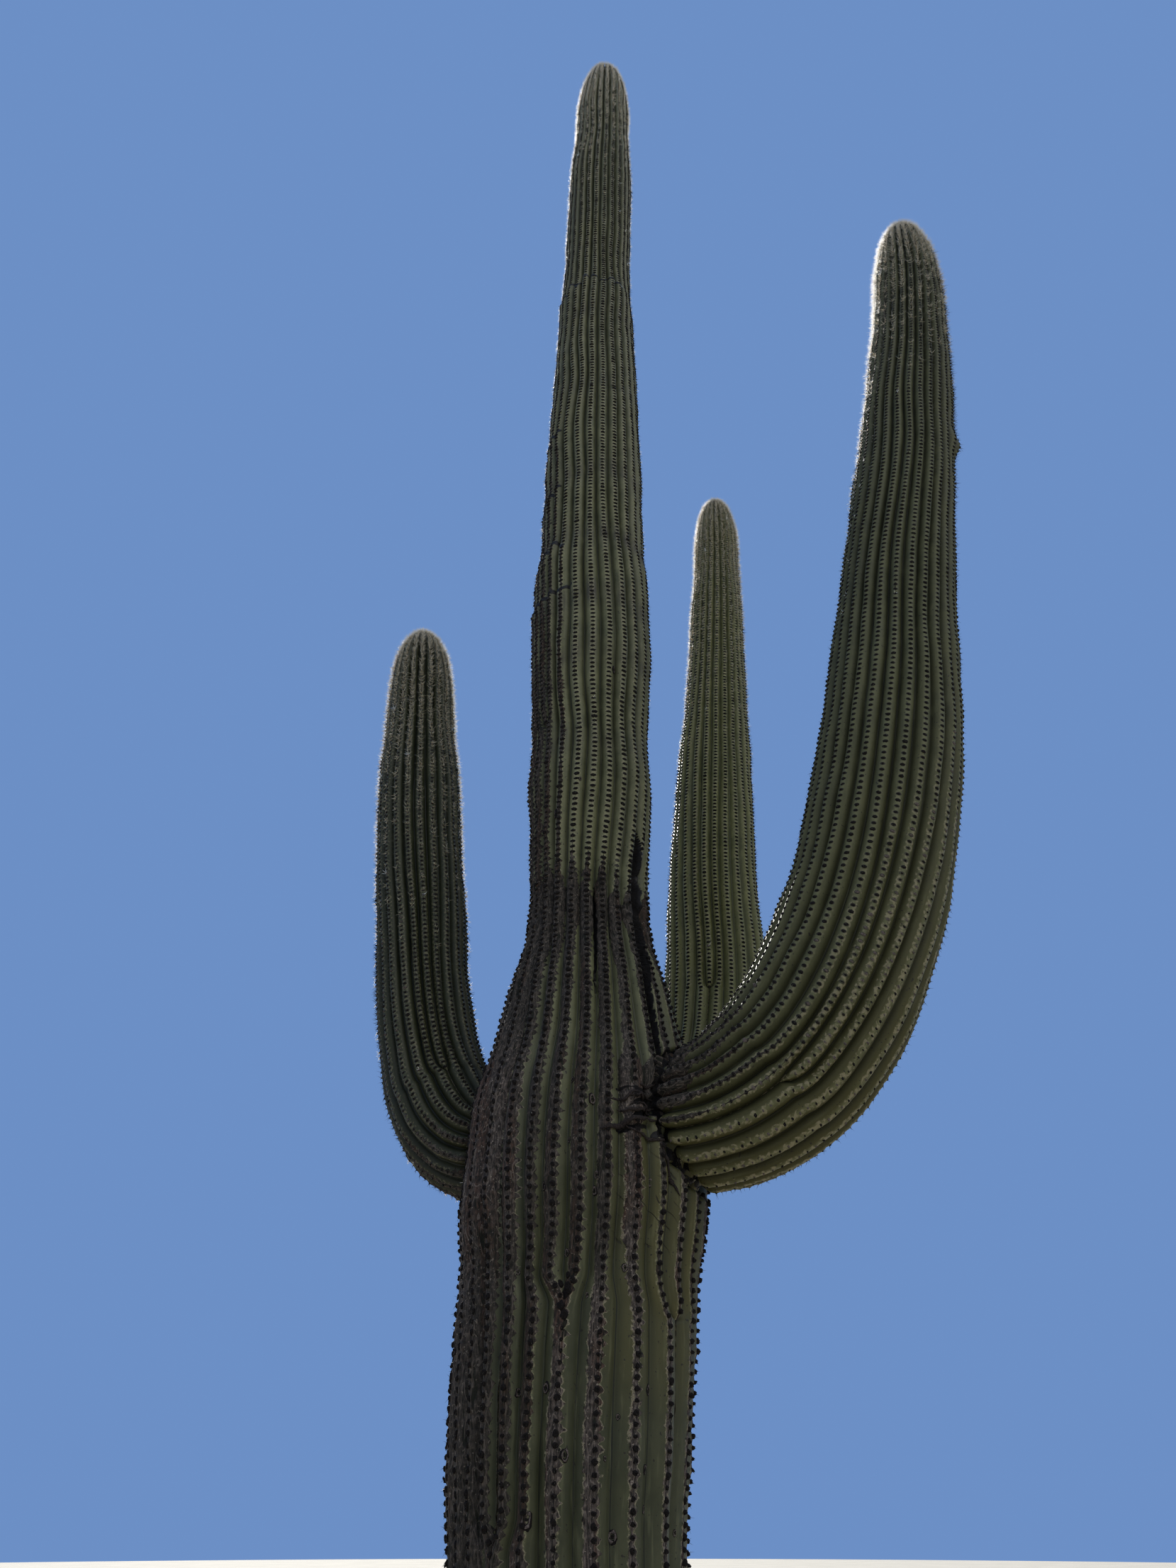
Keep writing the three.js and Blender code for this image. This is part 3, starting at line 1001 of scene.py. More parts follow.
def fresh_skin(n, side, across, along_rib, spot, dark, light, groove_shade_colour):
    """Waxy green between the bark strips: mottled, darker towards the bottom, with painted shade in the
    grooves: a thin crease in wide grooves and a dark hollow in narrow ones."""
    valley, narrow, paler = abs(side), narrow_ribs(n), tinted(light, PALER_BLUER)
    x, _, z = n.parts(spot)
    mottled = n.noise(spot, 13, 5, .6)
    face = n.ramp(mottled * .65 + n.noise(spot, 1.7, 2) * .35, [(.36, dark), (.62, light)])
    # Darker towards the bottom.
    face = n.mix(n.between(z, DARKER_FROM_HEIGHT, DARKEST_BELOW_HEIGHT) * .52, face, CREASE_SHADE)
    # Yellowed skin on the trunk, and painted warm bounce light on the arms.
    face = n.mix(n.attribute("yellow") * .6, face, tinted(light, YELLOW_AND_BOUNCE_TINT))
    # Narrow ribs paler and bluer towards their crests.
    face = n.mix(narrow * n.between(valley, .45, .05) * .5, face, paler)
    # Painted shade towards the grooves: dark in narrow ribs' grooves; on wide ribs lighter, with a little of
    # it over the whole face.
    hollow_and_shade = narrow * n.between(valley, .5, .97) * .62
    shallow_groove_shade = (1 - narrow) * (n.between(valley, .55, 1) * .34 + .27)
    face = n.mix(hollow_and_shade + shallow_groove_shade, face, groove_shade_colour)
    # A thin line of painted shade in the crease at the bottom of each groove.
    face = n.mix(n.between(valley, .955, .985) * .9, face, CREASE_SHADE)
    face = n.mix(n.attribute("season") * n.between(valley, 1, .3) * .8, face, SEASON_SKIN)
    streaks = n.noise(n.combine(across, along_rib * .12, 0), 75)
    face = n.mix(n.between(streaks, .52, .75) * .2, face, paler)
    specks = n.noise(spot, 105, 1)
    face = n.mix(n.between(specks, .7, .74) * .8, face, STAIN_AND_SHADE)
    slant = n.part_of_step(z * 19 + x * 17 + n.noise(spot, 7) * 2.2)
    crack = n.between(slant, .1, .04) * n.between(n.noise(spot, 16, 1), .42, .52) * n.attribute("cracked")
    return n.mix(crack * .85, face, STAIN_AND_SHADE), mottled, crack


def areole_ring(n, across, phase, spot, crumb_scale, slimness):
    """How much of the skin is dark round each areole, as the pad's own dark colour and painted shade of
    the notch it sits in, and pale crumbs beside that, which are finer where crumb_scale is high. The
    dark spot is wide where slimness is low."""
    up = (n.part_of_step(phase + .5) - .5) * AREOLE_STEP
    crumbs = n.between(n.length(across, up), CRUMBS_OUTSIDE, CRUMBS_INSIDE)
    crumbs = crumbs * n.between(n.noise(spot, crumb_scale, 2), .46, .6)
    reach = n.length(across * slimness, up * SPOT_SQUASH)
    return n.between(reach, SPOT_OUTSIDE, SPOT_INSIDE), crumbs


def cork(n, side, across, along_rib, spot):
    """Bark: long fibres, wavy pale lines, dark slits and fissures, reddish strips, darker on narrow ribs,
    and painted shade along the crease by the groove.
    """
    def fibrous(squash, seed, scale, detail=2, roughness=.55):
        """Noise drawn out along the rib."""
        return n.noise(n.combine(across, along_rib * squash, seed), scale, detail, roughness)

    grain = fibrous(.16, 0, 230, 4, .65) * .6 + n.noise(spot, 95, 4, .6) * .4
    colour = n.ramp(grain, BARK_STOPS)
    redness = n.between(fibrous(.12, 7, 15), .5, .58)
    colour = n.mix(redness * .7, colour, n.mix(n.between(grain, .4, .6), STAIN_AND_SHADE, RED_BARK))
    lines = n.between(n.part_of_step(fibrous(.22, 5, 26) * 9), .16, .04)
    colour = n.mix(lines * .5, colour, BARK_LINE)
    flecks = n.between(n.noise(spot, 130, 3, .6), .62, .68)
    colour = n.mix(flecks * .65, colour, BARK_FLECK)
    slits = n.between(fibrous(.2, 3, 150), .37, .31)
    fissures = n.between(fibrous(.16, 9, 62), .37, .32)
    # Painted shade along the crease by the groove.
    crease_shade = n.between(abs(side), .86, .97)
    gaps_and_crease_shade = n.math("MAXIMUM", n.math("MAXIMUM", slits, fissures), crease_shade)
    colour = n.mix(narrow_ribs(n) * .42, colour, CREASE_SHADE)
    return n.mix(gaps_and_crease_shade * .9, colour, CREASE_SHADE), grain, gaps_and_crease_shade


def skin_material(name, dark, light, valley, rim, halo, crumb_scale, gloss, slimness=1, bare_above=False):
    """Waxy skin with corky bark along the crests and pale crumbs at the areoles, and painted shade of
    the colour valley in its grooves. On a limb that is bare above, only its underside has crumbs, and
    only the rest has dark spots."""
    n = Nodes(name)
    spot = n.spot()
    half = n.attribute("half")
    side, phase, _ = n.parts(n.add("UVMap", uv_map="RibPlace"))
    across, along_rib = side * half, phase * AREOLE_STEP

    face, mottled, crack = fresh_skin(n, side, across, along_rib, spot, dark, light, valley)
    spot_and_notch_shade, crumbs = areole_ring(n, across, phase, spot, crumb_scale, slimness)
    crumbs = crumbs * halo
    if bare_above:
        crumbs = crumbs * n.between(n.attribute("yellow"), .3, .75)
        spot_and_notch_shade = spot_and_notch_shade * n.between(n.attribute("yellow"), 1.2, .5)
    face = n.mix(crumbs, face, HALO)
    # The spot round each areole: the pad's dark colour and painted shade of its notch.
    face = n.mix(spot_and_notch_shade * .93, face, STAIN_AND_SHADE)

    bark_colour, grain, gaps_and_crease_shade = cork(n, side, across, along_rib, spot)
    inside = bark_edges(n, side, phase, spot)
    bark = n.between(inside, -.012, .012)
    colour = n.mix(bark, face, bark_colour)
    past_edge = inside * half
    outline = n.between(past_edge, -RIM_FAR, -RIM_NEAR) * n.between(past_edge, RIM_FAR, RIM_NEAR)
    outline = outline * n.between(n.noise(spot, 48, 2), .42, .56) * n.between(half, .03, .042)
    colour = n.mix(outline * rim, colour, BARK_RIM)
    # Dark wood of wounds, and painted shade in wounds, seams and folds.
    hollow_and_shade = n.between(n.attribute("dark") + (n.noise(spot, 75) - .5) * .3, .36, .5)
    colour = n.mix(hollow_and_shade, colour, n.ramp(grain, WOUND_AND_SHADE_STOPS))

    height = bark * (grain * 1.8 + .4) + mottled * .12 + hollow_and_shade * grain - crack * .5 - bark * gaps_and_crease_shade * .7
    rough = bark * .33 + mottled * .25 + gloss
    return n.finish(colour, rough, n.bump(height, RELIEF, .8))


def felt_material(name, dark, light):
    """Felted wool or bark, with painted shade in its folds."""
    n = Nodes(name)
    felt = n.noise(n.spot(), 420, 3, .6)
    colour = n.ramp(felt, [(.35, dark), (.7, light)])
    return n.finish(colour, .9, n.bump(felt, .001, .6), .15)


def spine_material(name, colour, roughness, specular, glow):
    """A plain base colour with an uneven gloss. Light that falls on the far side glows through."""
    n = Nodes(name)
    n.shader.inputs["Subsurface Weight"].default_value = glow
    n.shader.inputs["Subsurface Radius"].default_value = (1, .8, .6)
    n.shader.inputs["Subsurface Scale"].default_value = SPINE_GLOW_DEPTH
    return n.finish(colour, n.noise(n.spot(), 40, 2) * .2 + (roughness - .1), None, specular)


# One skin in copies of different brightness: painted shade makes the right arm darker and the left arm much
# darker than the trunk, and painted light makes the back arm lighter. The third colour of each is its painted
# groove shade.
SKIN_MATERIALS = {
    "trunk": skin_material(
        "trunk_skin", (.056, .059, .0265), (.115, .115, .055), (.022, .025, .013), .65, .42, 170, .42,
        slimness=.88),
    "right_arm": skin_material(
        "right_arm_skin", (.036, .039, .0165), (.073, .075, .033), (.0095, .011, .006), .6, .5, 75, .5,
        bare_above=True),
    "left_arm": skin_material(
        "left_arm_skin", (.0135, .0172, .0076), (.0295, .033, .0145), (.005, .0065, .0035), .5, .25, 120,
        .38),
    "back_arm": skin_material(
        "back_arm_skin", (.08, .087, .034), (.158, .16, .064), (.038, .042, .017), .5, .5, 90, .38),
}
PAD_LOOKS = [
    felt_material("areole_felt", (.002, .0017, .0015), (.012, .009, .008)),
    felt_material("areole_wool", (.035, .027, .024), (.14, .115, .1)),
]
TORN_BARK = felt_material("torn_bark", (.004, .003, .0027), (.038, .029, .025))
# Spine colours: young spines' pale colour made near white as painted sunlight, straw, and old grey darkened
# as painted shade.
SPINE_LOOKS = [
    spine_material("spine_pale", (.85, .8, .68), .38, .8, 1),
    spine_material("spine_straw", (.32, .28, .19), .42, .7, .6),
    spine_material("spine_grey", (.04, .039, .026), .5, .4, 0),
]


# Areoles and spines

# An areole needs a rib that stands out of its groove, is wide enough and isn't one with the next.
LEAST_RISE = .55
LEAST_RIB_DEGREES = 3
MOST_JOINED = .6


def areole_frames(skin, seed):
    """Where the areoles sit: place, outward, upward and sideways directions, and what they are near."""
    rings = np.arange(len(skin.at))
    spots = []
    for rib in range(skin.count):
        phase = skin.phase[:, rib]
        ring = np.interp(np.arange(math.ceil(phase[0]), math.floor(phase[-1]) + 1), phase, rings)
        rise, joined, wide, crest = (
            np.interp(ring, rings, values[:, rib])
            for values in (skin.rise, skin.joined, skin.width, skin.crest)
        )
        alone = (joined < MOST_JOINED) | (skin.arm[rib] > 0)
        kept = alone & (rise > LEAST_RISE) & (wide > LEAST_RIB_DEGREES)
        column = skin.first_column[rib] + crest * skin.columns[rib]
        spots.append(np.stack([ring, column, np.full(len(ring), rib)])[:, kept])
    ring, column, rib = np.concatenate(spots, axis=1)
    low_ring = np.minimum(ring.astype(int), len(rings) - 2)
    low_column = np.floor(column + 1e-6).astype(int)
    share_up, share_side = (ring - low_ring)[:, None], (column - low_column)[:, None]
    total = len(skin.rib)

    def sampled(values):
        corners = [values[low_ring + i, (low_column + j) % total] for i in (0, 1) for j in (0, 1)]
        lower = corners[0] * (1 - share_side) + corners[1] * share_side
        upper = corners[2] * (1 - share_side) + corners[3] * share_side
        return lower * (1 - share_up) + upper * share_up

    column = low_column % total
    upward = unit(skin.points[low_ring + 1, column] - skin.points[low_ring, column])
    outward = square_to(sampled(skin.normals), upward)
    return {
        "place": sampled(skin.points), "outward": outward, "upward": upward,
        "sideways": np.cross(upward, outward), "at": np.interp(ring, rings, skin.at),
        "angle": skin.crest_angle[low_ring, rib.astype(int)], "dark": skin.dark[low_ring, column],
        "yellow": skin.yellow[low_ring, column],
        "chance": np.random.default_rng(seed).uniform(0, 1, len(ring)),
    }


def picked(frames, mask):
    return {key: value[mask] for key, value in frames.items()}


def dome_template(sides, levels, pale_level=None):
    """A low dome of one unit radius and height: points, triangles, and each triangle's look."""
    points, faces, looks = [], [], []
    for level, (radius, height) in enumerate(levels):
        for side in range(sides):
            turn = 2 * math.pi * (side + .5 * level) / sides
            points.append((radius * math.cos(turn), radius * math.sin(turn), height))
    for level in range(len(levels) - 1):
        for side in range(sides):
            here, after = level * sides + side, level * sides + (side + 1) % sides
            faces += [(here, after, here + sides), (after, after + sides, here + sides)]
            looks += [int(level == pale_level)] * 2
    top = (len(levels) - 1) * sides
    faces += [(top, top + side, top + side + 1) for side in range(1, sides - 1)]
    looks += [0] * (sides - 2)
    return np.array(points), np.array(faces), np.array(looks)


FINE_PAD = dome_template(7, [(1, -.5), (.97, .3), (.6, .95), (.26, .6)])
SMALL_PAD = dome_template(6, [(1.1, -.3), (.55, .8)])


def pads(frames, template, sizes, seed):
    """One pad for each areole. sizes are half width, half length and height, a row for each areole."""
    rng = np.random.default_rng(seed)
    points, faces, looks = template
    count = len(sizes)
    spin = rng.uniform(0, 2 * math.pi, count)[:, None]
    x = points[:, 0] * np.cos(spin) - points[:, 1] * np.sin(spin)
    y = points[:, 0] * np.sin(spin) + points[:, 1] * np.cos(spin)
    uneven = 1 + rng.uniform(-.25, .25, (count, len(points)))
    x, y, z = x * uneven, y * uneven, points[:, 2] * (1 + rng.uniform(-.35, .35, (count, len(points))))
    parts = ((x * sizes[:, :1], "sideways"), (y * sizes[:, 1:2], "upward"), (z * sizes[:, 2:], "outward"))
    placed = frames["place"][:, None] + sum(part[..., None] * frames[key][:, None] for part, key in parts)
    all_faces = faces + (np.arange(count) * len(points))[:, None, None]
    return placed.reshape(-1, 3), all_faces.reshape(-1, 3), np.tile(looks, count)


SPINE_THICKNESS = .0015
SPINE_SPREAD = .003
SPINE_FACES = np.array([(0, 1, 3), (1, 2, 3), (2, 0, 3), (2, 1, 0)])


def spines(frames, number, style, seed):
    """Spines as thin pointed needles, number of them at each areole. The style's fan is the angle
    from straight out in which they spread, and its droop how much they hang."""
    rng = np.random.default_rng(seed)
    owner = np.repeat(np.arange(len(number)), number)
    count = len(owner)
    tilt = np.radians(style["fan"][owner]) * np.sqrt(rng.uniform(.02, 1, count))
    turn = rng.uniform(0, 2 * math.pi, count)
    outward, upward, sideways = (frames[key][owner] for key in ("outward", "upward", "sideways"))
    direction = (np.cos(tilt)[:, None] * outward + (np.sin(tilt) * np.cos(turn))[:, None] * sideways
                 + (np.sin(tilt) * np.sin(turn))[:, None] * upward)
    direction[:, 2] -= style["droop"][owner]
    direction = unit(direction)
    long = style["length"][owner] * rng.uniform(.5, 1.1, count)
    side = unit(np.cross(direction, upward + .3 * sideways))
    other = np.cross(direction, side)
    up, beside = (rng.uniform(-SPINE_SPREAD, SPINE_SPREAD, count)[:, None] for _ in range(2))
    origin = frames["place"][owner] + outward * .001 + (up * upward + beside * sideways)
    base = [
        origin + SPINE_THICKNESS / 2 * (math.cos(turned) * side + math.sin(turned) * other)
        for turned in (0, 2 * math.pi / 3, 4 * math.pi / 3)
    ]
    points = np.stack([*base, origin + direction * long[:, None]], axis=1).reshape(-1, 3)
    faces = SPINE_FACES + (np.arange(count) * 4)[:, None, None]
    return points, faces.reshape(-1, 3), owner


def add_small_piece(name, points, faces, materials, look=None):
    """A joined piece of small parts. look gives each face's material."""
    piece = mesh_object(name, points, [faces], materials)
    if look is not None:
        piece.data.polygons.foreach_set("material_index", plain(look, np.int32))
    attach(piece, "root")


# Spines by distance along each limb: number at an areole, length, fan angle and droop, and how
# many of them are young and pale.
SPINES = {
    "trunk": {
        "number": [(0, 1), (2.6, 1.2), (3.4, 1.6), (5, 2.5), (7, 4.3), (8.3, 8), (9.4, 10)],
        "length": [(0, .022), (3.4, .014), (5, .016), (7, .019), (8.3, .025), (9.4, .032)],
        "fan": [(0, 60), (4, 65), (8, 72), (9.4, 50)],
        "droop": [(0, .6), (3, .5), (6, .2), (8, 0), (9.4, -.2)],
        "pale": [(0, .03), (3.4, .08), (6, .3), (8, .7), (9.4, .8)],
    },
    "right_arm": {
        "number": [(0, 1.4), (1.5, 1.2), (2.4, 2.4), (3.4, 5), (4.2, 8), (5, 10)],
        "length": [(0, .016), (2, .015), (3.4, .023), (4.2, .03), (5, .034)],
        "fan": [(0, 60), (3, 68), (4.2, 72), (5, 50)],
        "droop": [(0, .2), (2, .15), (4, 0), (5, -.2)],
        "pale": [(0, .04), (2, .12), (3.4, .58), (4.2, .8), (5, .8)],
    },
    "left_arm": {
        "number": [(0, 2.2), (1, 4.3), (1.8, 7.2), (2.65, 10)],
        "length": [(0, .016), (1, .019), (1.8, .024), (2.65, .03)],
        "fan": [(0, 65), (2, 72), (2.65, 50)],
        "droop": [(0, .2), (1, .05), (2.65, -.2)],
        "pale": [(0, .2), (1, .5), (1.8, .75), (2.65, .8)],
    },
    "back_arm": {
        "number": [(0, 2), (1.5, 3), (2.8, 5.8), (3.9, 10)],
        "length": [(0, .013), (1.5, .016), (2.8, .022), (3.9, .028)],
        "fan": [(0, 65), (3, 72), (3.9, 50)],
        "droop": [(0, .2), (1.5, .1), (3.9, -.2)],
        "pale": [(0, .1), (1.5, .3), (2.8, .75), (3.9, .8)],
    },
}
FADED_SHARE = .4
MOST_SPINES = 45000
LOWEST_AREOLE = .05
BURIED_ARM = .2
DARKEST_AREOLE = .35

# How many more spines, and more pale ones as painted sunlight, the sunny side has, how many are pale
# # or straw-coloured elsewhere, with the rest grey and darkened as painted shade, and how much of its
# # paleness the back keeps.
SUNNY_EXTRA = .6
SUNNY_PALE = .3
SHADY_PALE = .01
SHADY_STRAW = .17
BACK_PALE = .5


def add_skins(skin):
    """The skin in pieces. On an arm the first stands for its bend and the others for its rise."""
    name, cuts = skin.limb.name, skin.limb.spec["cuts"]
    slot = "trunk_skin" if name == "trunk" else "arm_skin"
    rings = [int(np.searchsorted(skin.at, cut)) for cut in cuts] + [len(skin.at) - 1]
    for number in range(len(cuts)):
        part = "_rise" if number else "_bend"
        node = name if name == "trunk" else name + part
        piece_name = f"{name}_skin_{number + 1}"
        skin_piece(skin, rings[number], rings[number + 1], piece_name, node, SKIN_MATERIALS[name])


def add_areoles(limb, frames, seed):
    """Dark felted pads on the crests, finer on the part of the trunk nearest the eye."""
    rng = np.random.default_rng(seed)
    at, on_trunk = frames["at"], limb.name == "trunk"
    near_tip = smooth_step(at, limb.length - 2.2, limb.length - .3)
    old = on_trunk * (1 - smooth_step(at, 2.6, 3.4))
    slit = old * smooth_step(facing(frames["angle"], -105), .4, .7)
    faded = (not on_trunk) * smooth_step(frames["yellow"], .4, .95)
    size = limb.spec["pad"] - .0006 * old - .0026 * near_tip
    size = size * rng.uniform(.78, 1.2, len(at)) * (1 - .3 * faded)
    tall = size * rng.uniform(.58, .8, len(at)) * (1 + .38 * old) * (1 + .3 * slit)
    high = (.003 + .003 * old - .0008 * near_tip) * (1 - .4 * slit) * (1 - .45 * faded)
    wide = size * (1 - .4 * slit) * (1 + on_trunk * .18 * (1 - old))
    sizes = np.stack([wide, tall, high], -1)
    fine = old > .02
    for mask, template, part in ((fine, FINE_PAD, "old"), (~fine, SMALL_PAD, "young")):
        if mask.any():
            points, faces, looks = pads(picked(frames, mask), template, sizes[mask], seed + 1)
            pale = frames["chance"][mask] < FADED_SHARE * faded[mask]
            looks = np.where(np.repeat(pale, len(template[1])), 1, looks)
            add_small_piece(f"{limb.name}_areoles_{part}", points, faces, PAD_LOOKS, looks)


def add_spines(limb, frames, seed):
    """Spines, split into pieces of no more than about MOST_SPINES needles. Spines in
    pieces small enough to keep every needle.
    """
    rng = np.random.default_rng(seed)
    at = frames["at"]
    style = {key: smooth_through(stations, at) for key, stations in SPINES[limb.name].items()}
    middle, reach = limb.spec["sunny"]
    sunny = 1 - smooth_step(away(frames["angle"], middle), .7 * reach, reach)
    young = smooth_step(at / limb.length, .2, .7)
    back = smooth_step(-facing(frames["angle"], 0), .55, .95)
    # Pale spines: young ones towards the tip, and on the sunny side painted sunlight on the spines that catch
    # it; the back keeps part of it.
    pale = style["pale"] * (SHADY_PALE + (1 - SHADY_PALE) * sunny) + SUNNY_PALE * sunny * young
    pale = pale * (1 - (1 - BACK_PALE) * back)
    wanted = style["number"] * (1 + SUNNY_EXTRA * sunny * young) * rng.uniform(.7, 1.3, len(at))
    number = np.floor(wanted + rng.uniform(0, 1, len(at))).astype(int)
    # The rest are straw or grey, the grey ones darkened as painted shade.
    straw = SHADY_STRAW * (frames["chance"] * 7 % 1) > style["droop"] + .12
    look = np.where(frames["chance"] < pale, 0, np.where(straw, 1, 2))
    order = np.argsort(at, kind="stable")
    parts = math.ceil(number.sum() / MOST_SPINES)
    share = np.cumsum(number[order]) / number.sum()
    for index, group in enumerate(np.split(order, np.searchsorted(share, np.arange(1, parts) / parts))):
        points, faces, owner = spines(
            picked(frames, group), number[group], picked(style, group), seed + 10 + index)
        name = f"{limb.name}_spines_{index + 1}"
        add_small_piece(name, points, faces, SPINE_LOOKS, np.repeat(look[group][owner], len(SPINE_FACES)))


# Round knots in the skin of the trunk: front angle, height and radius.
KNOTS = [
    (-18, 2.272, .01), (5.2, 2.3, .008), (5.2, 2.262, .009), (30.8, 2.296, .009), (21, 2.08, .008),
    (4.5, 2.016, .005), (-11.2, 1.808, .01), (-25.5, 1.804, .008), (37.5, 1.808, .01), (37.5, 1.648, .008),
    (21.8, 1.512, .011), (-29, 2.07, .006), (39, 1.568, .007), (16.5, 1.664, .005), (-18, 1.544, .014),
    (-6, 2.112, .008), (21.8, 1.752, .005), (-7.5, 2.56, .007), (2.2, 2.504, .012), (-7.5, 2.392, .006),
    (-34.5, 3.536, .01), (39, 3.544, .007), (-9, 3.656, .006), (-1.5, 1.672, .012), (-46.5, 1.68, .011),
    (23.3, 4.16, .013), (-34.5, 3.54, .013), (-33.8, 3.85, .012),
]
MORE_KNOTS = 60
MORE_KNOTS_WITHIN = ((60, 300), (.2, 5), (.004, .01))
KNOT = dome_template(10, [(1.35, -.4), (1, .5), (.7, .45), (.5, -.1), (.2, .1)], pale_level=1)

# Black lumps where the front rib forks: front angle, height and radius.
LUMPS = [(-5.5, 2.012, .014), (-4, 2.034, .011), (-6.8, 1.99, .011), (-5.2, 1.968, .012), (-2.5, 2.044, .008),
         (-8, 2.04, .009), (-4.6, 2.058, .008)]

# Small dark buds round the tip of each limb.
BUDS = 16
BUD_REACH = .03
BUD_RADIUS = (.004, .0075)


def add_marks(skin, name, marks, template, seed):
    """Small round marks on a limb's skin, each given by front angle, distance and radius."""
    angle, at, radius = np.array(marks).T
    place, outward = skin.near(at, angle)
    upward = square_to(np.broadcast_to([0, 0, 1.0], outward.shape), outward)
    frames = {"place": place, "outward": outward, "upward": upward, "sideways": np.cross(upward, outward)}
    sizes = np.stack([radius * .85, radius * 1.15, radius * .5], axis=-1)
    points, faces, looks = pads(frames, template, sizes, seed)
    add_small_piece(name, points, faces, PAD_LOOKS, looks)


def add_knots(skin, seed):
    """Small dark knots with a worn rim, and more of them round the sides and the back."""
    rng = np.random.default_rng(seed)
    more = np.stack([rng.uniform(low, high, MORE_KNOTS) for low, high in MORE_KNOTS_WITHIN], axis=-1)
    add_marks(skin, "trunk_knots", np.concatenate([KNOTS, more]), KNOT, seed)
    add_marks(skin, "trunk_fork_lumps", LUMPS, FINE_PAD, seed + 1)


def add_buds(skin, seed):
    rng = np.random.default_rng(seed)
    buds = np.stack([
        rng.uniform(-180, 180, BUDS), skin.at[-1] - BUD_REACH * rng.uniform(0, 1, BUDS) ** 2,
        rng.uniform(*BUD_RADIUS, BUDS)], axis=-1)
    add_marks(skin, f"{skin.limb.name}_buds", buds, FINE_PAD, seed)


# Torn strips of bark beside the right arm's collar: front angles and heights along each, half width.
TORN_STRIPS = [
    ([(6, 2.418), (13, 2.428), (21, 2.45), (34, 2.462)], .008),
    ([(9, 2.502), (16, 2.503), (22, 2.532), (35, 2.52)], .005),
    ([(18, 2.512), (24, 2.52), (29, 2.505), (31, 2.465)], .005),
    ([(19, 2.49), (24, 2.5), (27, 2.487), (28, 2.462)], .004),
    ([(12, 2.468), (20, 2.476), (29, 2.488), (36, 2.5)], .005),
    ([(16, 2.44), (24, 2.412), (33, 2.402), (37, 2.406)], .005),
    ([(21, 2.43), (22.5, 2.36), (23.5, 2.32), (23, 2.26)], .006),
    ([(34, 2.4), (38, 2.355), (42, 2.315), (47, 2.27)], .007),
    ([(24, 2.552), (31, 2.558), (38, 2.575)], .005),
]
STRIP_STEPS = 26
STRIP_SIDES = 6


def torn_strip(skin, route, half, seed):
    """A ragged strip of bark lying on the skin along a route."""
    rng = np.random.default_rng(seed)
    share, stops = np.linspace(0, 1, STRIP_STEPS), np.linspace(0, 1, len(route))
    angle, at = (smooth_through(np.stack([stops, values], -1), share) for values in np.array(route).T)
    place, outward = skin.near(at, angle)
    for _ in range(2):
        ends = np.pad(place, ((1, 1), (0, 0)), mode="edge")
        place = .25 * ends[:-2] + .5 * ends[1:-1] + .25 * ends[2:]
    across = unit(np.cross(outward, unit(np.gradient(place, axis=0))))
    taper = np.sqrt(np.sin(np.pi * np.clip(share, .02, .98)))
    wide = half * taper * rng.uniform(.7, 1.2, STRIP_STEPS)
    thick = .45 * wide + .0006
    lift = .003 + .004 * BARK_NOISE(share * 6, seed * 3.7, 2)
    rows = []
    for side in range(STRIP_SIDES):
        turned = 2 * math.pi * side / STRIP_SIDES
        ragged = rng.uniform(.75, 1.25, STRIP_STEPS)
        rows.append(place + (wide * ragged * math.cos(turned))[:, None] * across
                    + (thick * math.sin(turned) + lift)[:, None] * outward)
    faces = []
    for start in range(0, (STRIP_STEPS - 1) * STRIP_SIDES, STRIP_SIDES):
        for side in range(STRIP_SIDES):
            here, there = start + side, start + (side + 1) % STRIP_SIDES
            faces += [(here, there, there + STRIP_SIDES), (here, there + STRIP_SIDES, here + STRIP_SIDES)]
    last = (STRIP_STEPS - 1) * STRIP_SIDES
    for side in range(1, STRIP_SIDES - 1):
        faces += [(0, side + 1, side), (last, last + side, last + side + 1)]
    return np.stack(rows, axis=1).reshape(-1, 3), np.array(faces)


def add_torn_strips(skin):
    strips = [torn_strip(skin, route, half, seed) for seed, (route, half) in enumerate(TORN_STRIPS)]
    each = STRIP_STEPS * STRIP_SIDES
    points = np.concatenate([points for points, _ in strips])
    faces = np.concatenate([faces + number * each for number, (_, faces) in enumerate(strips)])
    add_small_piece("trunk_torn_bark", points, faces, [TORN_BARK])


def build_cactus():
    trunk = trunk_limb(TRUNK)
    arms = [arm_limb(spec) for spec in (RIGHT_ARM, LEFT_ARM, BACK_ARM)]
    for number, limb in enumerate([trunk, *arms]):
        skin = Skin(limb, arms if limb is trunk else [trunk])
        add_skins(skin)
        frames = areole_frames(skin, 100 + number)
        lowest = LOWEST_AREOLE if limb is trunk else BURIED_ARM
        frames = picked(frames, (frames["at"] > lowest) & (frames["dark"] < DARKEST_AREOLE))
        add_areoles(limb, frames, 200 + 10 * number)
        add_spines(limb, frames, 300 + 100 * number)
        add_buds(skin, 800 + number)
        if limb is trunk:
            add_knots(skin, 700)
            add_torn_strips(skin)


# Studio

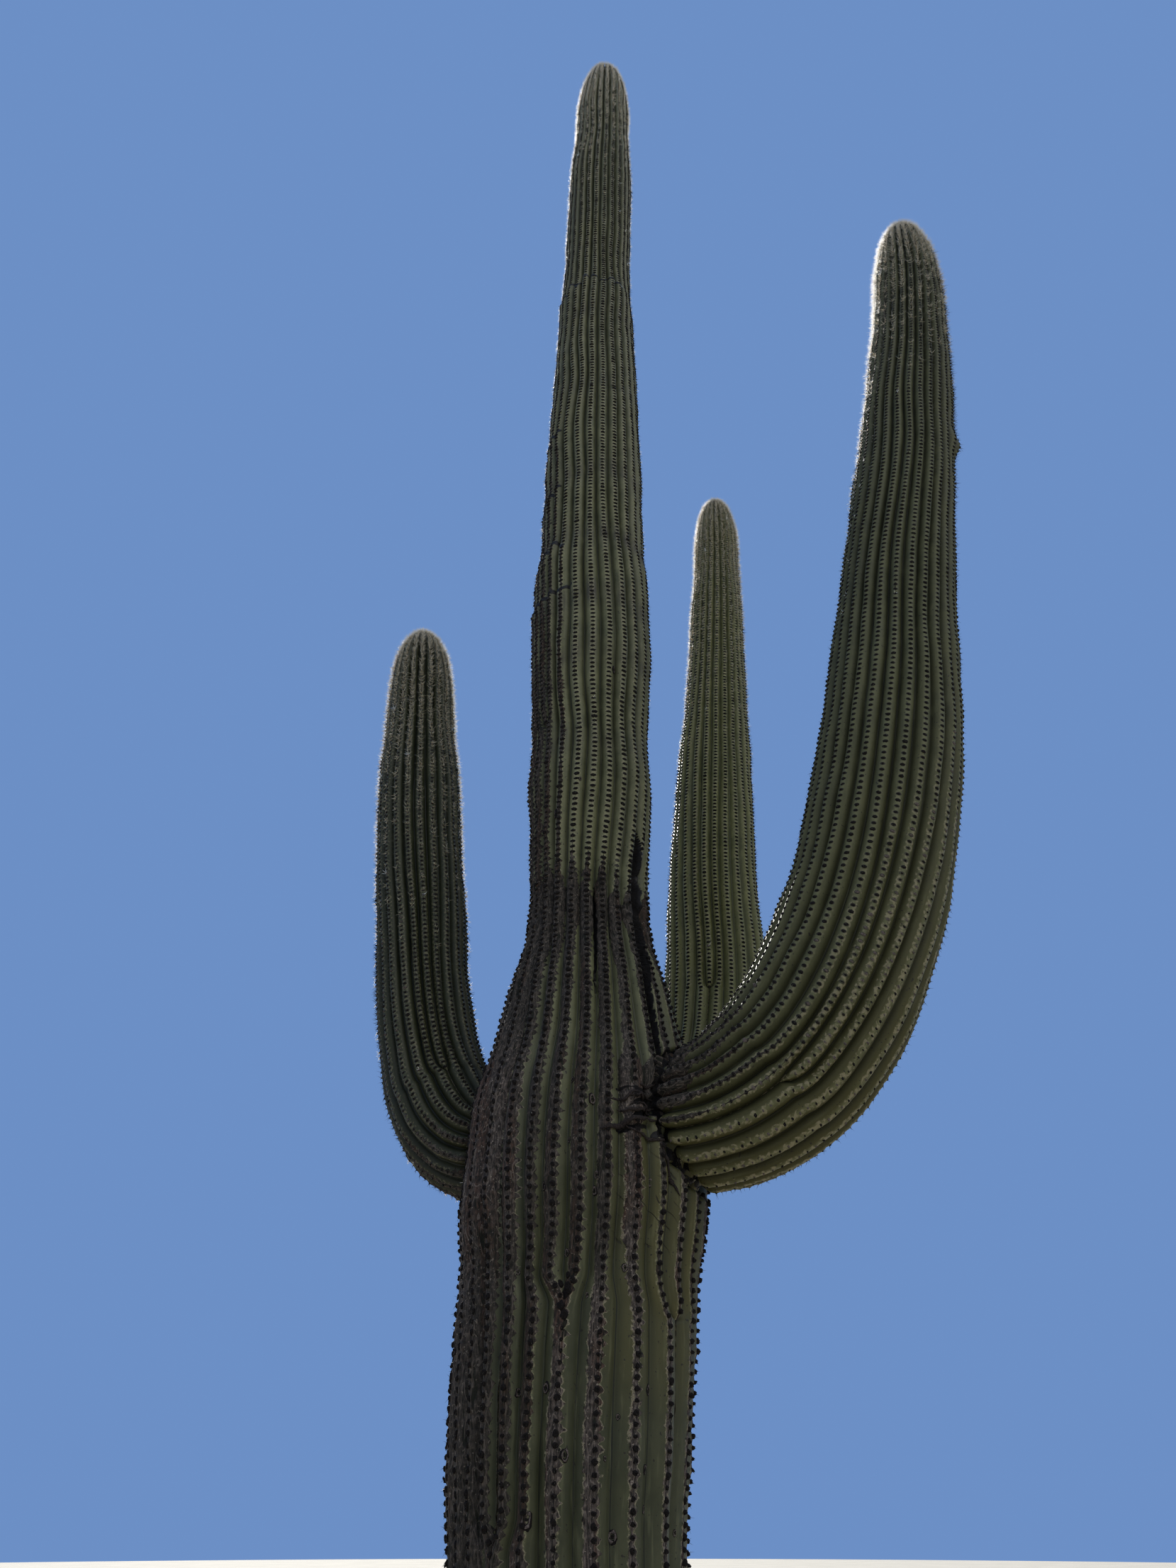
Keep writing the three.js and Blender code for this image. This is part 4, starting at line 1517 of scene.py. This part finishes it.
# The camera: where it stands, how far it tilts up, and its focal length and frame height in pixels.
EYE = (.046, -3.3, 1.55)
TILT = 34.08
FOCAL_PIXELS = 1533
FRAME_PIXELS = 2212
SENSOR = 36
SKY = (.15, .275, .56)
FLOOR_DARK, FLOOR_LIGHT = (.33, .31, .26), (.38, .355, .3)
FLOOR_RADIUS = 60
FLOOR_SIDES = 96
FLOOR_DROP = .002


def add_camera():
    data = bpy.data.cameras.new("camera")
    data.sensor_width = SENSOR
    data.lens = FOCAL_PIXELS / FRAME_PIXELS * SENSOR
    data.clip_end = 300
    camera = add_object("camera", data)
    camera.location = EYE
    camera.rotation_euler = (math.radians(90 + TILT), 0, 0)
    bpy.context.scene.camera = camera


def add_sun(name, azimuth, elevation, strength, softness, colour):
    """A soft distant light from a compass side, 0 in front and growing to the right."""
    data = bpy.data.lights.new(name, "SUN")
    data.energy = strength
    data.angle = math.radians(softness)
    data.color = colour
    add_object(name, data).rotation_euler = (math.radians(90 - elevation), 0, math.radians(azimuth))


def add_world(colour, strength):
    world = bpy.data.worlds.new("studio")
    world.use_nodes = True
    background = world.node_tree.nodes["Background"]
    background.inputs["Color"].default_value = (*colour, 1)
    background.inputs["Strength"].default_value = strength
    bpy.context.scene.world = world


def add_floor():
    """A wide pale floor with a faint mottle."""
    n = Nodes("studio_floor")
    colour = n.ramp(n.noise(n.spot(), .8, 4), [(.3, FLOOR_DARK), (.7, FLOOR_LIGHT)])
    material = n.finish(colour, .9)
    ring = np.arange(FLOOR_SIDES)
    turns = 2 * math.pi * ring / FLOOR_SIDES
    rim = FLOOR_RADIUS * np.stack([np.cos(turns), np.sin(turns), 0 * turns], axis=-1)
    faces = np.stack([ring, (ring + 1) % FLOOR_SIDES, np.full(FLOOR_SIDES, FLOOR_SIDES)], axis=-1)
    floor = mesh_object("studio_floor", np.concatenate([rim, [[0, 0, 0]]]), [faces], [material])
    floor.location.z = -FLOOR_DROP


def build_studio():
    add_floor()
    add_world(SKY, 1.0)
    add_sun("key", 34, 42, 1.25, 45, (1, .94, .8))
    add_sun("fill", -50, 25, .35, 70, (1, .95, .85))
    add_sun("rim", -166, 33, 8, 3, (1, .96, .88))
    bpy.context.scene.view_settings.view_transform = "Standard"
    add_camera()


build_cactus()
build_studio()
